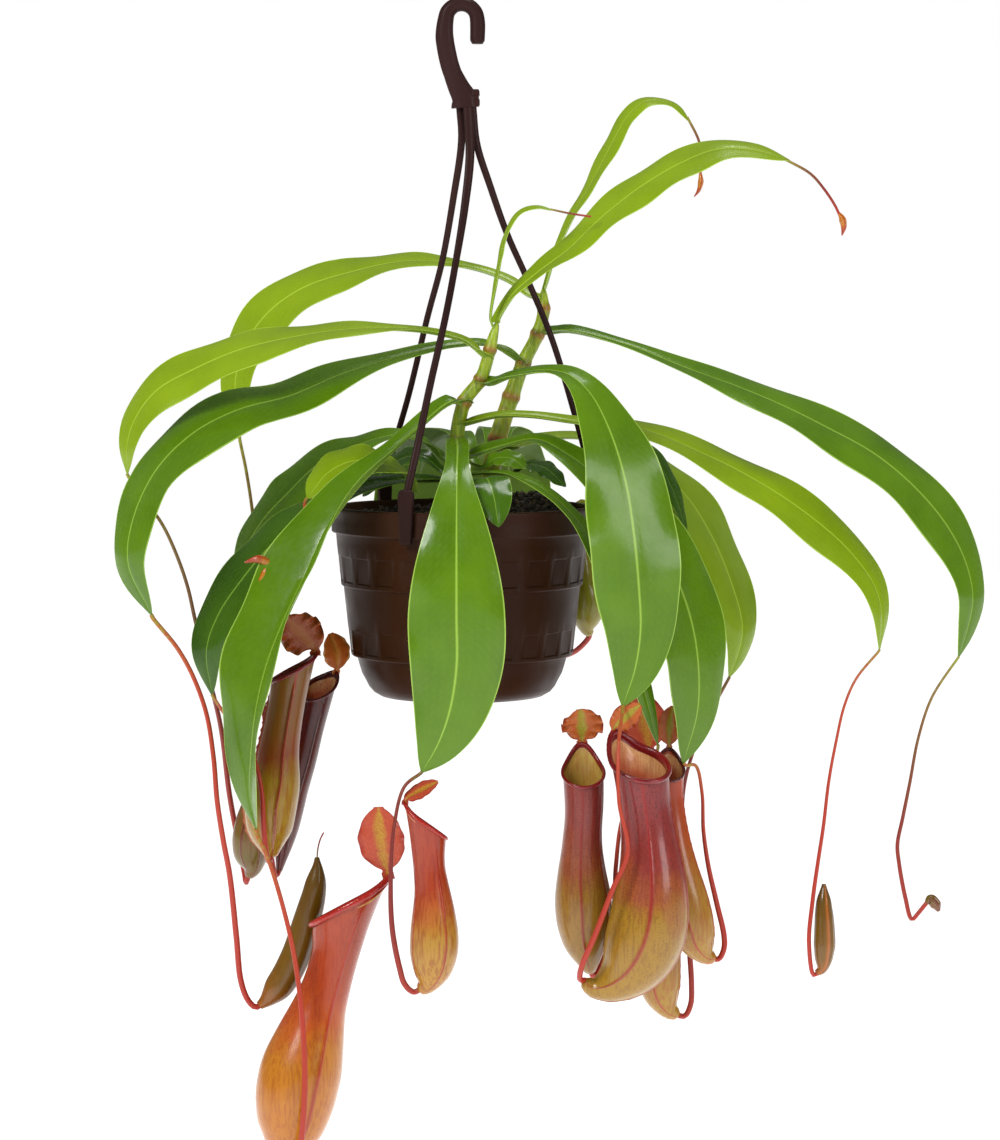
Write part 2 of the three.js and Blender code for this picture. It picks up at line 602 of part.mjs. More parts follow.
const openPitchers = {
  pitcher_front_left: {
    points: [[-100, -78.5, -675.5], [-102, -73, -668], [-100, -70, -655], [-96, -68, -630],
      [-88, -66, -600], [-79, -66, -571], [-71, -66, -544], [-65, -66, -523]],
    radii: [1.8, 19, 24, 24.5, 20, 15, 13.5, 14, 18],
    mouth: [-0.46, 0.12, 0.87],
    peak: 5,
    lid: { hinge: 0, reach: [[-1, -1, 4], [-4, -3, 19], [-6, -3, 42]], faces: [-0.35, -1, 0.1], wide: 29 },
  },
  pitcher_front: {
    points: [[-24.6, -95, -567.6], [-20.5, -95, -565], [-16.8, -95, -556], [-15.2, -95, -543],
      [-15.2, -95, -528], [-16, -95, -512], [-18, -95, -494], [-20, -95, -471]],
    radii: [2, 11, 14.2, 14, 12.2, 10, 9, 9.5, 11],
    mouth: [0.56, 0.1, 0.8],
    peak: 4,
    lid: { hinge: 180, reach: [[1, 0, 3], [9, -1, 8], [19, -2, 13]], faces: [0.2, -0.5, 1], wide: 16 },
  },
  pitcher_left_front: {
    points: [[-112, -53.5, -497.5], [-112, -52, -493.5], [-112.5, -50.5, -484], [-112, -50, -468],
      [-109, -50, -452], [-107, -50, -435], [-103, -50, -411], [-98.4, -50, -387]],
    radii: [2, 13, 15.3, 15, 12.8, 11.2, 10.6, 10.6, 11.5],
    mouth: [-0.45, -0.05, 0.88],
    peak: 3,
    lid: { hinge: 350, reach: [[-1, -2, 4], [-8, -4, 12], [-17, -7, 22]], faces: [-0.3, -1, 0.4], wide: 26 },
  },
  pitcher_left_dark: {
    points: [[-109.5, -18.5, -511.8], [-108, -18, -503], [-106, -18, -491], [-102, -18, -465],
      [-95, -18, -441], [-89, -18, -417], [-85, -18, -401]],
    radii: [1.4, 5, 8, 9.5, 9.5, 9, 8.5, 9, 9.5],
    mouth: [-0.2, -0.5, 0.84],
    peak: 3,
    lid: { hinge: 320, reach: [[1, -1, 4], [1, -3, 12], [-3, -4, 24]], faces: [0.5, -0.8, 0.3], wide: 19 },
  },
  pitcher_left_behind: {
    points: [[-129.5, -2, -518], [-127, -2, -513], [-127, -2, -501], [-124, -2, -486],
      [-120, -1, -468], [-116, 0, -451], [-113, 0, -438]],
    radii: [1.5, 10, 13, 13, 11, 9, 8, 8],
    mouth: [0.1, -0.5, 0.86],
    lid: { hinge: 270, reach: [[0, 0, 4], [1, -2, 12], [1, -4, 20]], faces: [0.1, -1, 0.2], wide: 14 },
  },
  pitcher_right_front: {
    points: [[76, -54.4, -566], [75, -56, -559], [73, -56, -546], [72, -56, -528],
      [71, -57, -508], [71, -59, -487], [72, -60, -466], [71.5, -60, -446]],
    radii: [1.8, 12, 16.5, 17, 14.5, 12, 11, 11.5, 12],
    mouth: [0, -0.5, 0.87],
    peak: 9,
    lid: { hinge: 270, reach: [[0, -2, 4], [0, -6, 12], [-1, -9, 21]], faces: [0, -1, 0.3], wide: 25 },
  },
  pitcher_right_big: {
    points: [[71, -84.6, -563.6], [76, -83, -568], [84, -82, -567.5], [93, -81, -562],
      [101, -80.5, -552], [107.5, -80, -537], [110.5, -80, -517], [110.5, -80, -499],
      [108.8, -80, -479], [106, -80, -458], [103.5, -80, -438]],
    radii: [2, 9.8, 18.4, 22.8, 23.3, 21.5, 18.9, 16.3, 15.1, 15.2, 16.5],
    mouth: [0.12, -0.42, 0.9],
    peak: 10,
    lid: { hinge: 222, reach: [[0, -1, 3], [6, -3, 9], [15, -5, 17]], faces: [0.4, -0.9, 0.5], wide: 15 },
  },
  pitcher_right_behind: {
    points: [[151, -40, -559.7], [146, -40.5, -558.5], [140.5, -41, -551], [137, -42, -540],
      [133.5, -42, -525], [129, -42, -505], [125.5, -41, -484], [123, -40, -461], [123, -40, -446]],
    radii: [2, 11.2, 13.5, 12.8, 11, 9.3, 8.3, 8, 8.5],
    mouth: [0.1, -0.6, 0.8],
    peak: 4,
    lid: { hinge: 270, reach: [[0, -1, 4], [0, -3, 13], [2, -4, 26]], faces: [0.1, -1, 0], wide: 15 },
  },
  pitcher_right_low: {
    points: [[131, -14, -599.5], [125.5, -14, -597], [120.5, -14, -588], [118.5, -14, -575],
      [118, -14, -554], [118, -14, -529], [116, -14, -505], [114, -14, -475], [113, -14, -454]],
    radii: [2, 12.3, 13.6, 13, 11.5, 9, 8, 8, 8.5],
    mouth: [0, -0.6, 0.8],
    peak: 5,
    lid: { hinge: 270, reach: [[0, -1, 5], [-3, -5, 18], [-7, -8, 38]], faces: [-0.1, -1, 0], wide: 28 },
  },
  pitcher_back: {
    points: [[79, 50, -376], [77, 50, -373], [76, 50, -364], [74, 50, -348], [73, 51, -332],
      [72, 52, -318]],
    radii: [1.5, 9, 12, 12, 9.5, 8, 8],
    mouth: [0.1, 0.5, 0.86],
    peak: 3,
    lid: { hinge: 90, reach: [[0, 0, 4], [1, 3, 10], [2, 6, 18]], faces: [0, 1, 0.3], wide: 14 },
  },
};
for (const [name, one] of Object.entries(openPitchers)) {
  const look = name === "pitcher_left_dark" ? finish.darkPitcher : finish.pitcher;
  add(name, openPitcher(one), look);
}

// Pitchers that have not opened yet are closed and pointed at both ends.
const closedPitchers = {
  pitcher_closed_left: {
    points: [[-119.6, -48, -586.6], [-115, -47, -583], [-106, -46, -572], [-98, -46, -556],
      [-92, -46, -537], [-87, -47, -519], [-85, -48, -505], [-85, -49, -498]],
    radii: [2, 8.4, 8.6, 8.4, 8, 7.4, 6.2, 1.0],
  },
  pitcher_closed_right: {
    points: [[211, -36.4, -569.4], [214, -36, -567], [215.5, -36, -556], [215.5, -36, -541],
      [215, -36, -529], [215, -36, -516]],
    radii: [1.2, 4.4, 6.4, 6, 5.4, 4, 1],
  },
  pitcher_bud_right: {
    points: [[276.4, -31, -528.4], [279, -31, -526], [282, -31, -529], [284, -31, -533]],
    radii: [1.2, 3.2, 3.4, 1],
  },
};
for (const [name, { points, radii }] of Object.entries(closedPitchers)) {
  add(name, rod(points, radii, 8, 11), finish.pitcher);
}

export default plant;
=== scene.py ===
import math

import bpy
import numpy as np
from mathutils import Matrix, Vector


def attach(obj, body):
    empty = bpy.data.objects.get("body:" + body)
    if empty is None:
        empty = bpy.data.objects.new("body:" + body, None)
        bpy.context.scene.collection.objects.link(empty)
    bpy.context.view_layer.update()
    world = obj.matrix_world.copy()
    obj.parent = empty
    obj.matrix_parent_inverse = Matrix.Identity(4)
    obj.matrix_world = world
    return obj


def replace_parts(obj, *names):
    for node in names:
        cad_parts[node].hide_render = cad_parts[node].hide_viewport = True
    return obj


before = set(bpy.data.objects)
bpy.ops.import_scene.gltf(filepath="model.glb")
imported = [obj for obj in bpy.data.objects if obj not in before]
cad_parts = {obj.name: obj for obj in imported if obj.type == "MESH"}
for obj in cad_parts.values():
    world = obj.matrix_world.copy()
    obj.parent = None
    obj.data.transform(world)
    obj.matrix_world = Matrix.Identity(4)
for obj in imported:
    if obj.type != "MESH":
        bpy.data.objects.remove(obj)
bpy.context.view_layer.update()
scene = bpy.context.scene


# ---- Studio: the plant hangs in front of white paper under large soft lamps.
# A wide key lamp stands to the front left and a weaker fill to the right, with two rim lamps behind.
scene.view_settings.view_transform = "Standard"


def placed(name, data):
    """A new object with this data, in the scene."""
    piece = bpy.data.objects.new(name, data)
    scene.collection.objects.link(piece)
    return piece


# A long lens two metres in front of the pot looks down on it by 4.5 degrees.
camera = placed("camera", bpy.data.cameras.new("camera"))
camera.data.lens = 105.3
camera.data.clip_end = 30.0
camera.location = (0.0228, -1.9938, -0.1749)
camera.rotation_euler = (math.radians(85.5), 0.0, 0.0)
scene.camera = camera


def soft_lamp(name, place, size, watts, shines=True):
    """Adds a square area lamp that looks at the middle of the plant, with or without a highlight."""
    lamp = placed(name, bpy.data.lights.new(name, "AREA"))
    lamp.data.size = size
    lamp.data.energy = watts
    lamp.location = place
    aim = Vector((0.03, 0.0, -0.33)) - lamp.location
    lamp.rotation_euler = aim.to_track_quat("-Z", "Y").to_euler()
    lamp.visible_glossy = shines


soft_lamp("key_lamp", (-1.1, -1.5, 0.75), 0.7, 30.0)
soft_lamp("fill_lamp", (1.5, -1.3, 0.1), 0.8, 12.0)
soft_lamp("top_lamp", (0.2, 0.2, 1.3), 0.6, 10.0)
soft_lamp("rim_lamp_left", (-1.4, 1.1, 0.1), 0.6, 8.0, False)
soft_lamp("rim_lamp_right", (1.5, 1.0, 0.0), 0.6, 8.0, False)


def srgb(colour):
    """Turns a hex colour such as '#4E8F1C' into linear red, green, blue and alpha."""
    parts = [int(colour[k:k + 2], 16) / 255 for k in (1, 3, 5)]
    return tuple(c / 12.92 if c <= 0.04045 else ((c + 0.055) / 1.055) ** 2.4 for c in parts) + (1.0,)


def fill(tree, node, inputs):
    """Gives a node's inputs plain values, or links them to another node or to one of its outputs."""
    for key, value in inputs.items():
        if isinstance(value, bpy.types.Node):
            value = next(end for end in value.outputs if end.enabled)
        if isinstance(value, bpy.types.NodeSocket):
            tree.links.new(value, node.inputs[key])
        else:
            node.inputs[key].default_value = value


def add_node(owner, kind, inputs=None, stops=(), **settings):
    """Adds a node to a node tree, or a shader node to a material or the world, and fills its inputs."""
    tree = getattr(owner, "node_tree", owner)
    node = tree.nodes.new(kind if tree is owner else "ShaderNode" + kind)
    for key, value in settings.items():
        setattr(node, key, value)
    fill(tree, node, inputs or {})
    for n, (place, colour) in enumerate(stops):
        stop = node.color_ramp.elements[n] if n < 2 else node.color_ramp.elements.new(1.0)
        stop.position = place
        stop.color = srgb(colour)
    return node


def new_material(name):
    """A material, with where its surface is in metres."""
    material = bpy.data.materials.new(name)
    material.use_nodes = True
    return material, add_node(material, "TexCoord").outputs["Object"]


def finish(material, sockets):
    """Fills the sockets of the material's surface shader."""
    fill(material.node_tree, material.node_tree.nodes["Principled BSDF"], sockets)
    return material


# The paper all round is lit to a plain white and gives the plant about half of that back as soft light.
# For glossy rays the white is dimmed, so most of it stays out of the gloss and only the lamps make
# highlights.
scene.world = bpy.data.worlds.new("white_studio")
scene.world.use_nodes = True
ray = add_node(scene.world, "LightPath").outputs
seen = add_node(scene.world, "MapRange", {"Value": ray["Is Camera Ray"], "To Min": 0.5, "To Max": 1.0})
level = add_node(scene.world, "Math", {0: ray["Is Glossy Ray"], 1: -0.35, 2: seen}, operation="MULTIPLY_ADD")
fill(scene.world.node_tree, scene.world.node_tree.nodes["Background"], {
    "Color": (1.0, 1.0, 1.0, 1.0), "Strength": level})

# The floor is pale matt paper, a third of a metre under the lowest pitcher.
paper, spot = new_material("pale_matt_paper")
fibre = add_node(paper, "TexNoise", {"Vector": spot, "Scale": 400.0, "Detail": 3.0})
tint = add_node(paper, "ValToRGB", {"Fac": fibre}, [(0.0, "#FAFAFA"), (1.0, "#FFFFFF")])
finish(paper, {
    "Base Color": tint, "Roughness": 1.0, "Specular IOR Level": 0.0, "Emission Color": srgb("#FFFFFF"),
    "Emission Strength": 0.6})
floor_mesh = bpy.data.meshes.new("paper_floor")
floor_mesh.from_pydata([(-9, -9, -1.05), (9, -9, -1.05), (9, 9, -1.05), (-9, 9, -1.05)], [], [(0, 1, 2, 3)])
floor_mesh.materials.append(paper)
floor = placed("paper_floor", floor_mesh)


# ---- Pot: one injection moulding in dark brown polypropylene, 156 mm across its rolled rim.
# Two bands of shallow panels are moulded into the wall with narrow ribs left between them, and the
# polished steel mould leaves a smooth semi-gloss skin with faint flow marks.
def polypropylene(name, colours, flow_scale, polish):
    """Moulded polypropylene: opaque, semi-gloss, with faint streaks where the melt flowed."""
    plastic, spot = new_material(name)
    # Flow streaks run up the wall, about 25 mm long and 6 mm wide.
    stretched = add_node(plastic, "Mapping", {"Vector": spot, "Scale": (1.0, 1.0, 0.25)})
    streak = add_node(plastic, "TexNoise", {"Vector": stretched, "Scale": flow_scale, "Detail": 5.0})
    tint = add_node(plastic, "ValToRGB", {"Fac": streak}, [(0.3, colours[0]), (0.7, colours[1])])
    dust = add_node(plastic, "TexNoise", {"Vector": spot, "Scale": 45.0, "Detail": 8.0})
    dusty = add_node(plastic, "MapRange", {
        "Value": dust, "From Min": 0.4, "From Max": 0.75, "To Min": polish, "To Max": polish + 0.18})
    # Handling has left 0.3 mm scuffs that only just break the highlights.
    scuff = add_node(plastic, "TexNoise", {"Vector": spot, "Scale": 900.0, "Detail": 3.0})
    relief = add_node(plastic, "Bump", {"Height": scuff, "Strength": 0.12, "Distance": 0.0003})
    return finish(plastic, {
        "Base Color": tint, "Roughness": dusty, "Normal": relief, "IOR": 1.49, "Specular IOR Level": 0.07})


def round_turn(sides):
    """Angles evenly spaced round a full turn."""
    return np.linspace(0.0, 2 * math.pi, sides, endpoint=False)


def level_ring(turn, radius, height):
    """A ring of points about the pot's axis, whose radius and height may change round it."""
    return np.stack([radius * np.cos(turn), radius * np.sin(turn), np.broadcast_to(height, turn.shape)], -1)


def skin(name, rings, slots, materials, sharp=50.0, around=None, rise=None):
    """A closed skin over rings of points, with a fan on each end.

    `around` gives the pattern's place across each ring, one value more than the ring has points,
    `rise` its place along the piece, one for each ring, and `slots` the material of each strip from
    ring to ring, or of each column along the piece.
    """
    rings = np.array(rings)
    rows, columns = rings.shape[:2]
    i, j = np.meshgrid(np.arange(rows - 1), np.arange(columns), indexing="ij")
    here = i * columns + j
    beside = i * columns + (j + 1) % columns
    faces = np.stack([here, beside, beside + columns, here + columns], -1).reshape(-1, 4).tolist()
    slot = np.broadcast_to(slots, (rows - 1, columns)).ravel().tolist()
    over = np.linspace(0.0, 1.0, columns + 1) if around is None else around
    up = np.linspace(0.0, 1.0, rows) if rise is None else np.array(rise, float)
    pattern = np.stack([np.stack([over[j + a], up[i + b]], -1) for a, b in ((0, 0), (1, 0), (1, 1), (0, 1))],
                       2).reshape(-1, 2).tolist()
    for start, middle in ((0, rows * columns), ((rows - 1) * columns, rows * columns + 1)):
        edge = up[-1] if start else up[0]
        for k in range(columns):
            corner = [start + k, start + (k + 1) % columns, middle]
            place = [(over[k], edge), (over[k + 1], edge), ((over[k] + over[k + 1]) / 2, edge)]
            faces.append(corner if start else corner[::-1])
            pattern.extend(place if start else place[::-1])
            slot.append(slot[(rows - 1) * columns - 1] if start else slot[0])
    points = np.vstack([rings.reshape(-1, 3), rings[0].mean(axis=0), rings[-1].mean(axis=0)]) * 0.001
    mesh = bpy.data.meshes.new(name)
    mesh.from_pydata(points.tolist(), [], faces)
    mesh.uv_layers.new(name="surface").data.foreach_set("uv", np.array(pattern).ravel())
    mesh.polygons.foreach_set("material_index", slot)
    # A skin whose rings run the other way round encloses a negative volume, so it is turned.
    quads = points[np.array(faces[:(rows - 1) * columns])] - points[0]
    volume = np.einsum("ij,ij->i", quads[:, 0], np.cross(quads[:, 1], quads[:, 2])).sum()
    volume += np.einsum("ij,ij->i", quads[:, 0], np.cross(quads[:, 2], quads[:, 3])).sum()
    if volume < 0:
        mesh.flip_normals()
    mesh.shade_smooth()
    mesh.set_sharp_from_angle(angle=math.radians(sharp))
    for material in materials:
        mesh.materials.append(material)
    return placed(name, mesh)


pot_brown = polypropylene("moulded_brown_polypropylene", ("#2C170C", "#3A2012"), 12.0, 0.3)
rim_brown = polypropylene("moulded_brown_rim_band", ("#2E1A11", "#3C251A"), 12.0, 0.26)

# Each row is radius, height and how deep the panels are sunk there, from the foot round the rim
# and down inside to the floor.
pot_rows = [
    (12.0, -403.6, 0), (38.0, -403.6, 0), (40.5, -404.6, 0), (42.5, -407.0, 0), (45.0, -407.0, 0),
    (49.5, -406.4, 0), (53.5, -404.0, 0), (56.0, -401.0, 0), (58.0, -397.0, 0), (60.2, -393.0, 0),
    (62.0, -387.0, 0), (63.0, -383.0, 0), (63.3, -382.5, 0), (66.0, -382.2, 0), (66.5, -381.6, 0),
    (66.7, -380.0, 0), (66.8, -379.2, 1), (68.2, -366.4, 1), (68.3, -365.6, 0), (69.2, -357.0, 0),
    (70.2, -348.0, 0), (70.9, -341.2, 0), (71.1, -340.5, 0), (72.1, -340.2, 0), (72.5, -339.6, 0),
    (72.6, -337.6, 0), (72.7, -336.8, 1), (74.1, -322.4, 1), (74.2, -321.6, 0), (74.9, -315.0, 0),
    (75.4, -309.2, 0), (75.8, -308.5, 0), (77.6, -308.2, 0), (78.0, -307.6, 0), (78.0, -301.0, 0),
    (77.9, -296.4, 0), (78.2, -295.2, 0), (78.1, -293.9, 0), (77.4, -293.2, 0), (76.2, -293.0, 0),
    (75.0, -293.4, 0), (74.6, -294.4, 0), (73.6, -309.0, 0), (70.4, -338.0, 0), (64.0, -380.0, 0),
    (59.0, -392.0, 0), (53.0, -399.0, 0), (45.0, -401.4, 0), (12.0, -401.8, 0),
]
PANELS = 24
PANEL_DEPTH = 0.9
turn = round_turn(PANELS * 12)
off_middle = (turn * PANELS / (2 * math.pi)) % 1.0 - 0.5
# A panel is flat, so it is sunk deepest along its middle.
sunk = np.clip((0.43 - abs(off_middle)) / 0.05, 0.0, 1.0) * (0.25 + 0.75 * np.cos(off_middle * math.pi))
pot_rings = [level_ring(turn, radius - PANEL_DEPTH * panel * sunk, height)
             for radius, height, panel in pot_rows]
# The rolled band is given a slightly paler brown than the wall, and a little less roughness.
rim_band = np.array([[int(height > -308.6 and radius > 74 and n < 42)]
                     for n, (radius, height, panel) in enumerate(pot_rows)])
pot = skin("hanging_pot", pot_rings, rim_band[1:], [pot_brown, rim_brown], sharp=28.0)
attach(pot, "root")
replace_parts(pot, "pot")


# ---- Compost: composted bark, peat and perlite, filled to just under the rim and heaped at the back
# right where the plant was potted on. Damp bark is near black, with paler dry edges.
bark_dark, spot = new_material("damp_composted_bark")
# Chips differ from one to the next at about 5 mm, and their fibres at under 1 mm.
chip_tone = add_node(bark_dark, "TexNoise", {"Vector": spot, "Scale": 190.0, "Detail": 2.0})
fibre = add_node(bark_dark, "TexNoise", {"Vector": spot, "Scale": 1500.0, "Detail": 5.0})
tint = add_node(bark_dark, "ValToRGB", {"Fac": chip_tone},
                [(0.3, "#15100D"), (0.52, "#2A1E17"), (0.64, "#4A3626"), (0.72, "#6E5A43")])
relief = add_node(bark_dark, "Bump", {"Height": fibre, "Strength": 0.7, "Distance": 0.0006})
finish(bark_dark, {"Base Color": tint, "Normal": relief, "Roughness": 0.78})

COMPOST_RADIUS = 72.4
turn = round_turn(96)
compost_rings = []
for radius in np.linspace(2.0, COMPOST_RADIUS, 36):
    x, y = radius * np.cos(turn), radius * np.sin(turn)
    dome = -296.5 - 4.5 * (radius / COMPOST_RADIUS) ** 2
    heap = 11.0 * np.exp(-((x - 44.0) ** 2 + (y - 40.0) ** 2) / 520.0)
    lumps = 1.3 * np.sin(0.31 * x + 1.1) * np.sin(0.27 * y) + 0.8 * np.sin(0.72 * x - 0.5 * y)
    edge = np.clip((COMPOST_RADIUS - radius) / 6.0, 0.0, 1.0)
    compost_rings.append(level_ring(turn, radius, dome + heap * edge + lumps * edge))
compost_rings += [level_ring(turn, radius, height) for radius, height in (
    (COMPOST_RADIUS, -306.0), (69.6, -338.0), (63.2, -380.0), (57.0, -393.0), (40.0, -398.0))]
compost = skin("compost", compost_rings, 0, [bark_dark])
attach(compost, "root")
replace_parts(compost, "soil")


def new_tree(name, sizes):
    """A geometry node tree whose named inputs are a mesh or curve, the sizes and a material."""
    tree = bpy.data.node_groups.new(name, "GeometryNodeTree")
    tree.interface.new_socket("Geometry", in_out="INPUT", socket_type="NodeSocketGeometry")
    for label, kind in {**sizes, "Material": "Material"}.items():
        tree.interface.new_socket(label, in_out="INPUT", socket_type="NodeSocket" + kind)
    tree.interface.new_socket("Geometry", in_out="OUTPUT", socket_type="NodeSocketGeometry")
    return tree, tree.nodes.new("NodeGroupInput").outputs


def end_tree(tree, grown_shape, material):
    """Ends a tree: its instances become real and take the material."""
    real = add_node(tree, "GeometryNodeRealizeInstances", {"Geometry": grown_shape})
    coated = add_node(tree, "GeometryNodeSetMaterial", {"Geometry": real, "Material": material})
    add_node(tree, "NodeGroupOutput", {"Geometry": coated})


def grown(name, source, tree, values):
    """Runs the tree on the source object with these inputs and keeps the result as a plain mesh."""
    modifier = source.modifiers.new("growth", "NODES")
    modifier.node_group = tree
    for socket in tree.interface.items_tree:
        if socket.in_out == "INPUT" and socket.name in values:
            modifier[socket.identifier] = values[socket.name]
    bpy.context.view_layer.update()
    evaluated = source.evaluated_get(bpy.context.evaluated_depsgraph_get())
    mesh = bpy.data.meshes.new_from_object(evaluated)
    source.modifiers.remove(modifier)
    return placed(name, mesh)


# Loose chips of bark lie all over the top, 3 to 9 mm long and tumbled at random.
chips, given = new_tree("scattered_bark_chips", {"Density": "Float", "Chip length": "Float", "Seed": "Int"})
facing = add_node(chips, "ShaderNodeSeparateXYZ", {"Vector": add_node(chips, "GeometryNodeInputNormal")})
height = add_node(chips, "ShaderNodeSeparateXYZ", {"Vector": add_node(chips, "GeometryNodeInputPosition")})
upward = add_node(chips, "ShaderNodeMath", {0: facing.outputs["Z"], 1: 0.3}, operation="GREATER_THAN")
high = add_node(chips, "ShaderNodeMath", {0: height.outputs["Z"], 1: -0.303}, operation="GREATER_THAN")
on_top = add_node(chips, "FunctionNodeBooleanMath", {0: upward, 1: high})
lying = add_node(chips, "GeometryNodeDistributePointsOnFaces", {
    "Mesh": given["Geometry"], "Selection": on_top, "Density": given["Density"], "Seed": given["Seed"]})
tumble = add_node(chips, "FunctionNodeRandomValue", {
    "Max": (6.28, 6.28, 6.28), "Seed": given["Seed"]}, data_type="FLOAT_VECTOR")
length = add_node(chips, "FunctionNodeRandomValue", {
    0: (0.35, 0.3, 0.18), 1: (1.0, 0.6, 0.45), "Seed": given["Seed"]}, data_type="FLOAT_VECTOR")
chip = add_node(chips, "GeometryNodeMeshIcoSphere", {"Radius": given["Chip length"], "Subdivisions": 1})
laid = add_node(chips, "GeometryNodeInstanceOnPoints", {
    "Points": lying, "Instance": chip, "Rotation": tumble, "Scale": length})
end_tree(chips, laid, given["Material"])
bark_chips = grown("bark_chips", compost, chips,
                   {"Density": 110000.0, "Chip length": 0.0042, "Seed": 7, "Material": bark_dark})
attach(bark_chips, "root")


# ---- Hanger: one moulding in purple-brown polypropylene, a bevelled hook on a widened foot with three
# thin strands, each ending in a flat tab that clips over the rim of the pot.
hanger_brown = [polypropylene("moulded_purple_brown_hanger", ("#221312", "#34211F"), 20.0, 0.3)]


def smooth_path(points, count):
    """Places and directions evenly spaced along a centripetal Catmull-Rom curve through the points."""
    p = np.array(points, float)
    p = np.vstack([2 * p[0] - p[1], p, 2 * p[-1] - p[-2]])
    dense = []
    for a, b, c, d in zip(p, p[1:], p[2:], p[3:]):
        step = [max(np.linalg.norm(v), 1e-6) ** 0.5 for v in (b - a, c - b, d - c)]
        leave = step[1] * ((b - a) / step[0] - (c - a) / (step[0] + step[1]) + (c - b) / step[1])
        arrive = step[1] * ((c - b) / step[1] - (d - b) / (step[1] + step[2]) + (d - c) / step[2])
        t = np.linspace(0.0, 1.0, 24, endpoint=False)[:, None]
        dense.append(b + t * leave + t ** 2 * (3 * (c - b) - 2 * leave - arrive)
                     + t ** 3 * (2 * (b - c) + leave + arrive))
    dense = np.vstack(dense + [p[-2:-1]])
    gone = distances(dense)
    even = np.linspace(0.0, gone[-1], count)
    places = np.stack([np.interp(even, gone, dense[:, k]) for k in range(3)], -1)
    on = np.gradient(places, axis=0)
    return places, on / np.linalg.norm(on, axis=1)[:, None]


def distances(places):
    """How far along a path each of its places is."""
    return np.concatenate([[0.0], np.cumsum(np.linalg.norm(np.diff(places, axis=0), axis=1))])


def along(values, t):
    """The value at each t of a list spread evenly along a piece."""
    values = np.array(values, float)
    spread = np.linspace(0.0, 1.0, len(values))
    if values.ndim == 1:
        return np.interp(t, spread, values)
    return np.stack([np.interp(t, spread, values[:, k]) for k in range(values.shape[1])], -1)


def turned_up(on, faces, t):
    """The ways across and up at each t of a path that runs `on`, with up turned to `faces`."""
    up = along(faces, t)
    up = up - on * np.sum(up * on, axis=1)[:, None]
    up /= np.linalg.norm(up, axis=1)[:, None]
    return np.cross(on, up), up


def frames_along(points, faces, count):
    """Frames along a path: t, places, and the ways on, across and up."""
    places, on = smooth_path(points, count)
    t = np.linspace(0.0, 1.0, count)
    return t, places, on, *turned_up(on, faces, t)


def rings_about(places, across, up, out, lift):
    """Rings about each place of a path, from how far each point is out across it and lifted up."""
    return places[:, None] + across[:, None] * out[:, :, None] + up[:, None] * lift[:, :, None]


def rod_rings(points, widths, depths, sides, count, faces=((0.3, -1, 0.2),)):
    """Oval rings along a path, with half widths across and half depths up that may change."""
    t, places, _, across, up = frames_along(points, faces, count)
    angle = round_turn(sides)
    return rings_about(places, across, up, along(widths, t)[:, None] * np.cos(angle),
                       along(depths, t)[:, None] * np.sin(angle))


# The hook is a bar of bevelled section, 9 mm square over the rod and wider down its shank.
HOOK_INNER_RADIUS = 5.2
hook_middle = HOOK_INNER_RADIUS + 4.2
hook_path = [(hook_middle, 0, -19.2)]
for degrees in range(0, 181, 30):
    a = math.radians(degrees)
    hook_path.append((hook_middle * math.cos(a), 0, hook_middle * math.sin(a) - HOOK_INNER_RADIUS))
hook_path += [(-10.1, 0, -14), (-8.8, 0, -23.5), (-6.2, 0, -34), (-2, 0, -44), (1.7, 0, -51.5),
              (2.2, 0, -56.6)]
t, places, on, across, up = frames_along(hook_path, [(0, -1, 0)], 110)
# The free end is rounded off over its last 2 mm.
blunt = np.clip(0.72 + t * 14.0, 0.0, 1.0)
half_width = along([8.6, 9, 8.4, 8.4, 9.4, 10.8, 11, 11, 13.2, 16.6], t) / 2 * blunt
half_depth = 4.5 * blunt
# Each flat meets its 45 degree bevel over a small round, so every corner is two points.
octagon = np.array([(1, 0.45), (0.45, 1), (-0.45, 1), (-1, 0.45), (-1, -0.45), (-0.45, -1), (0.45, -1),
                    (1, -0.45)])
softened = np.stack([0.86 * octagon + 0.14 * np.roll(octagon, 1, 0),
                     0.86 * octagon + 0.14 * np.roll(octagon, -1, 0)], 1).reshape(-1, 2)
hook_rings = rings_about(places, across, up, half_width[:, None] * softened[:, 0],
                         half_depth[:, None] * softened[:, 1])
hook = skin("hanger_hook_bar", hook_rings, 0, hanger_brown, sharp=24.0)
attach(hook, "root")
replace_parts(hook, "hanger_hook")

# A small stepped boss with bevelled edges stands on the right side of the foot. Each row is its half
# width, half depth, height and corner radius.
block_rows = ((1.6, 2.6, -45.9, 0.6), (2.3, 3.4, -46.7, 0.9), (2.5, 3.6, -49.4, 1.0), (2.0, 3.1, -49.9, 0.9),
              (2.0, 3.1, -51.6, 0.9), (2.5, 3.6, -52.1, 1.0), (2.5, 3.6, -55.2, 1.0), (1.8, 2.8, -56.0, 0.6))
block_rings = [[(8.3 + sx * (half_x - corner * (1 - math.cos(a))),
                 sy * (half_y - corner * (1 - math.sin(a))), height)
                for sx, sy, order in ((1, 1, 1), (-1, 1, -1), (-1, -1, 1), (1, -1, -1))
                for a in np.linspace(0, math.pi / 2, 5)[::order]]
               for half_x, half_y, height, corner in block_rows]
block = skin("hanger_boss", block_rings, 0, hanger_brown, sharp=24.0)
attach(block, "root")

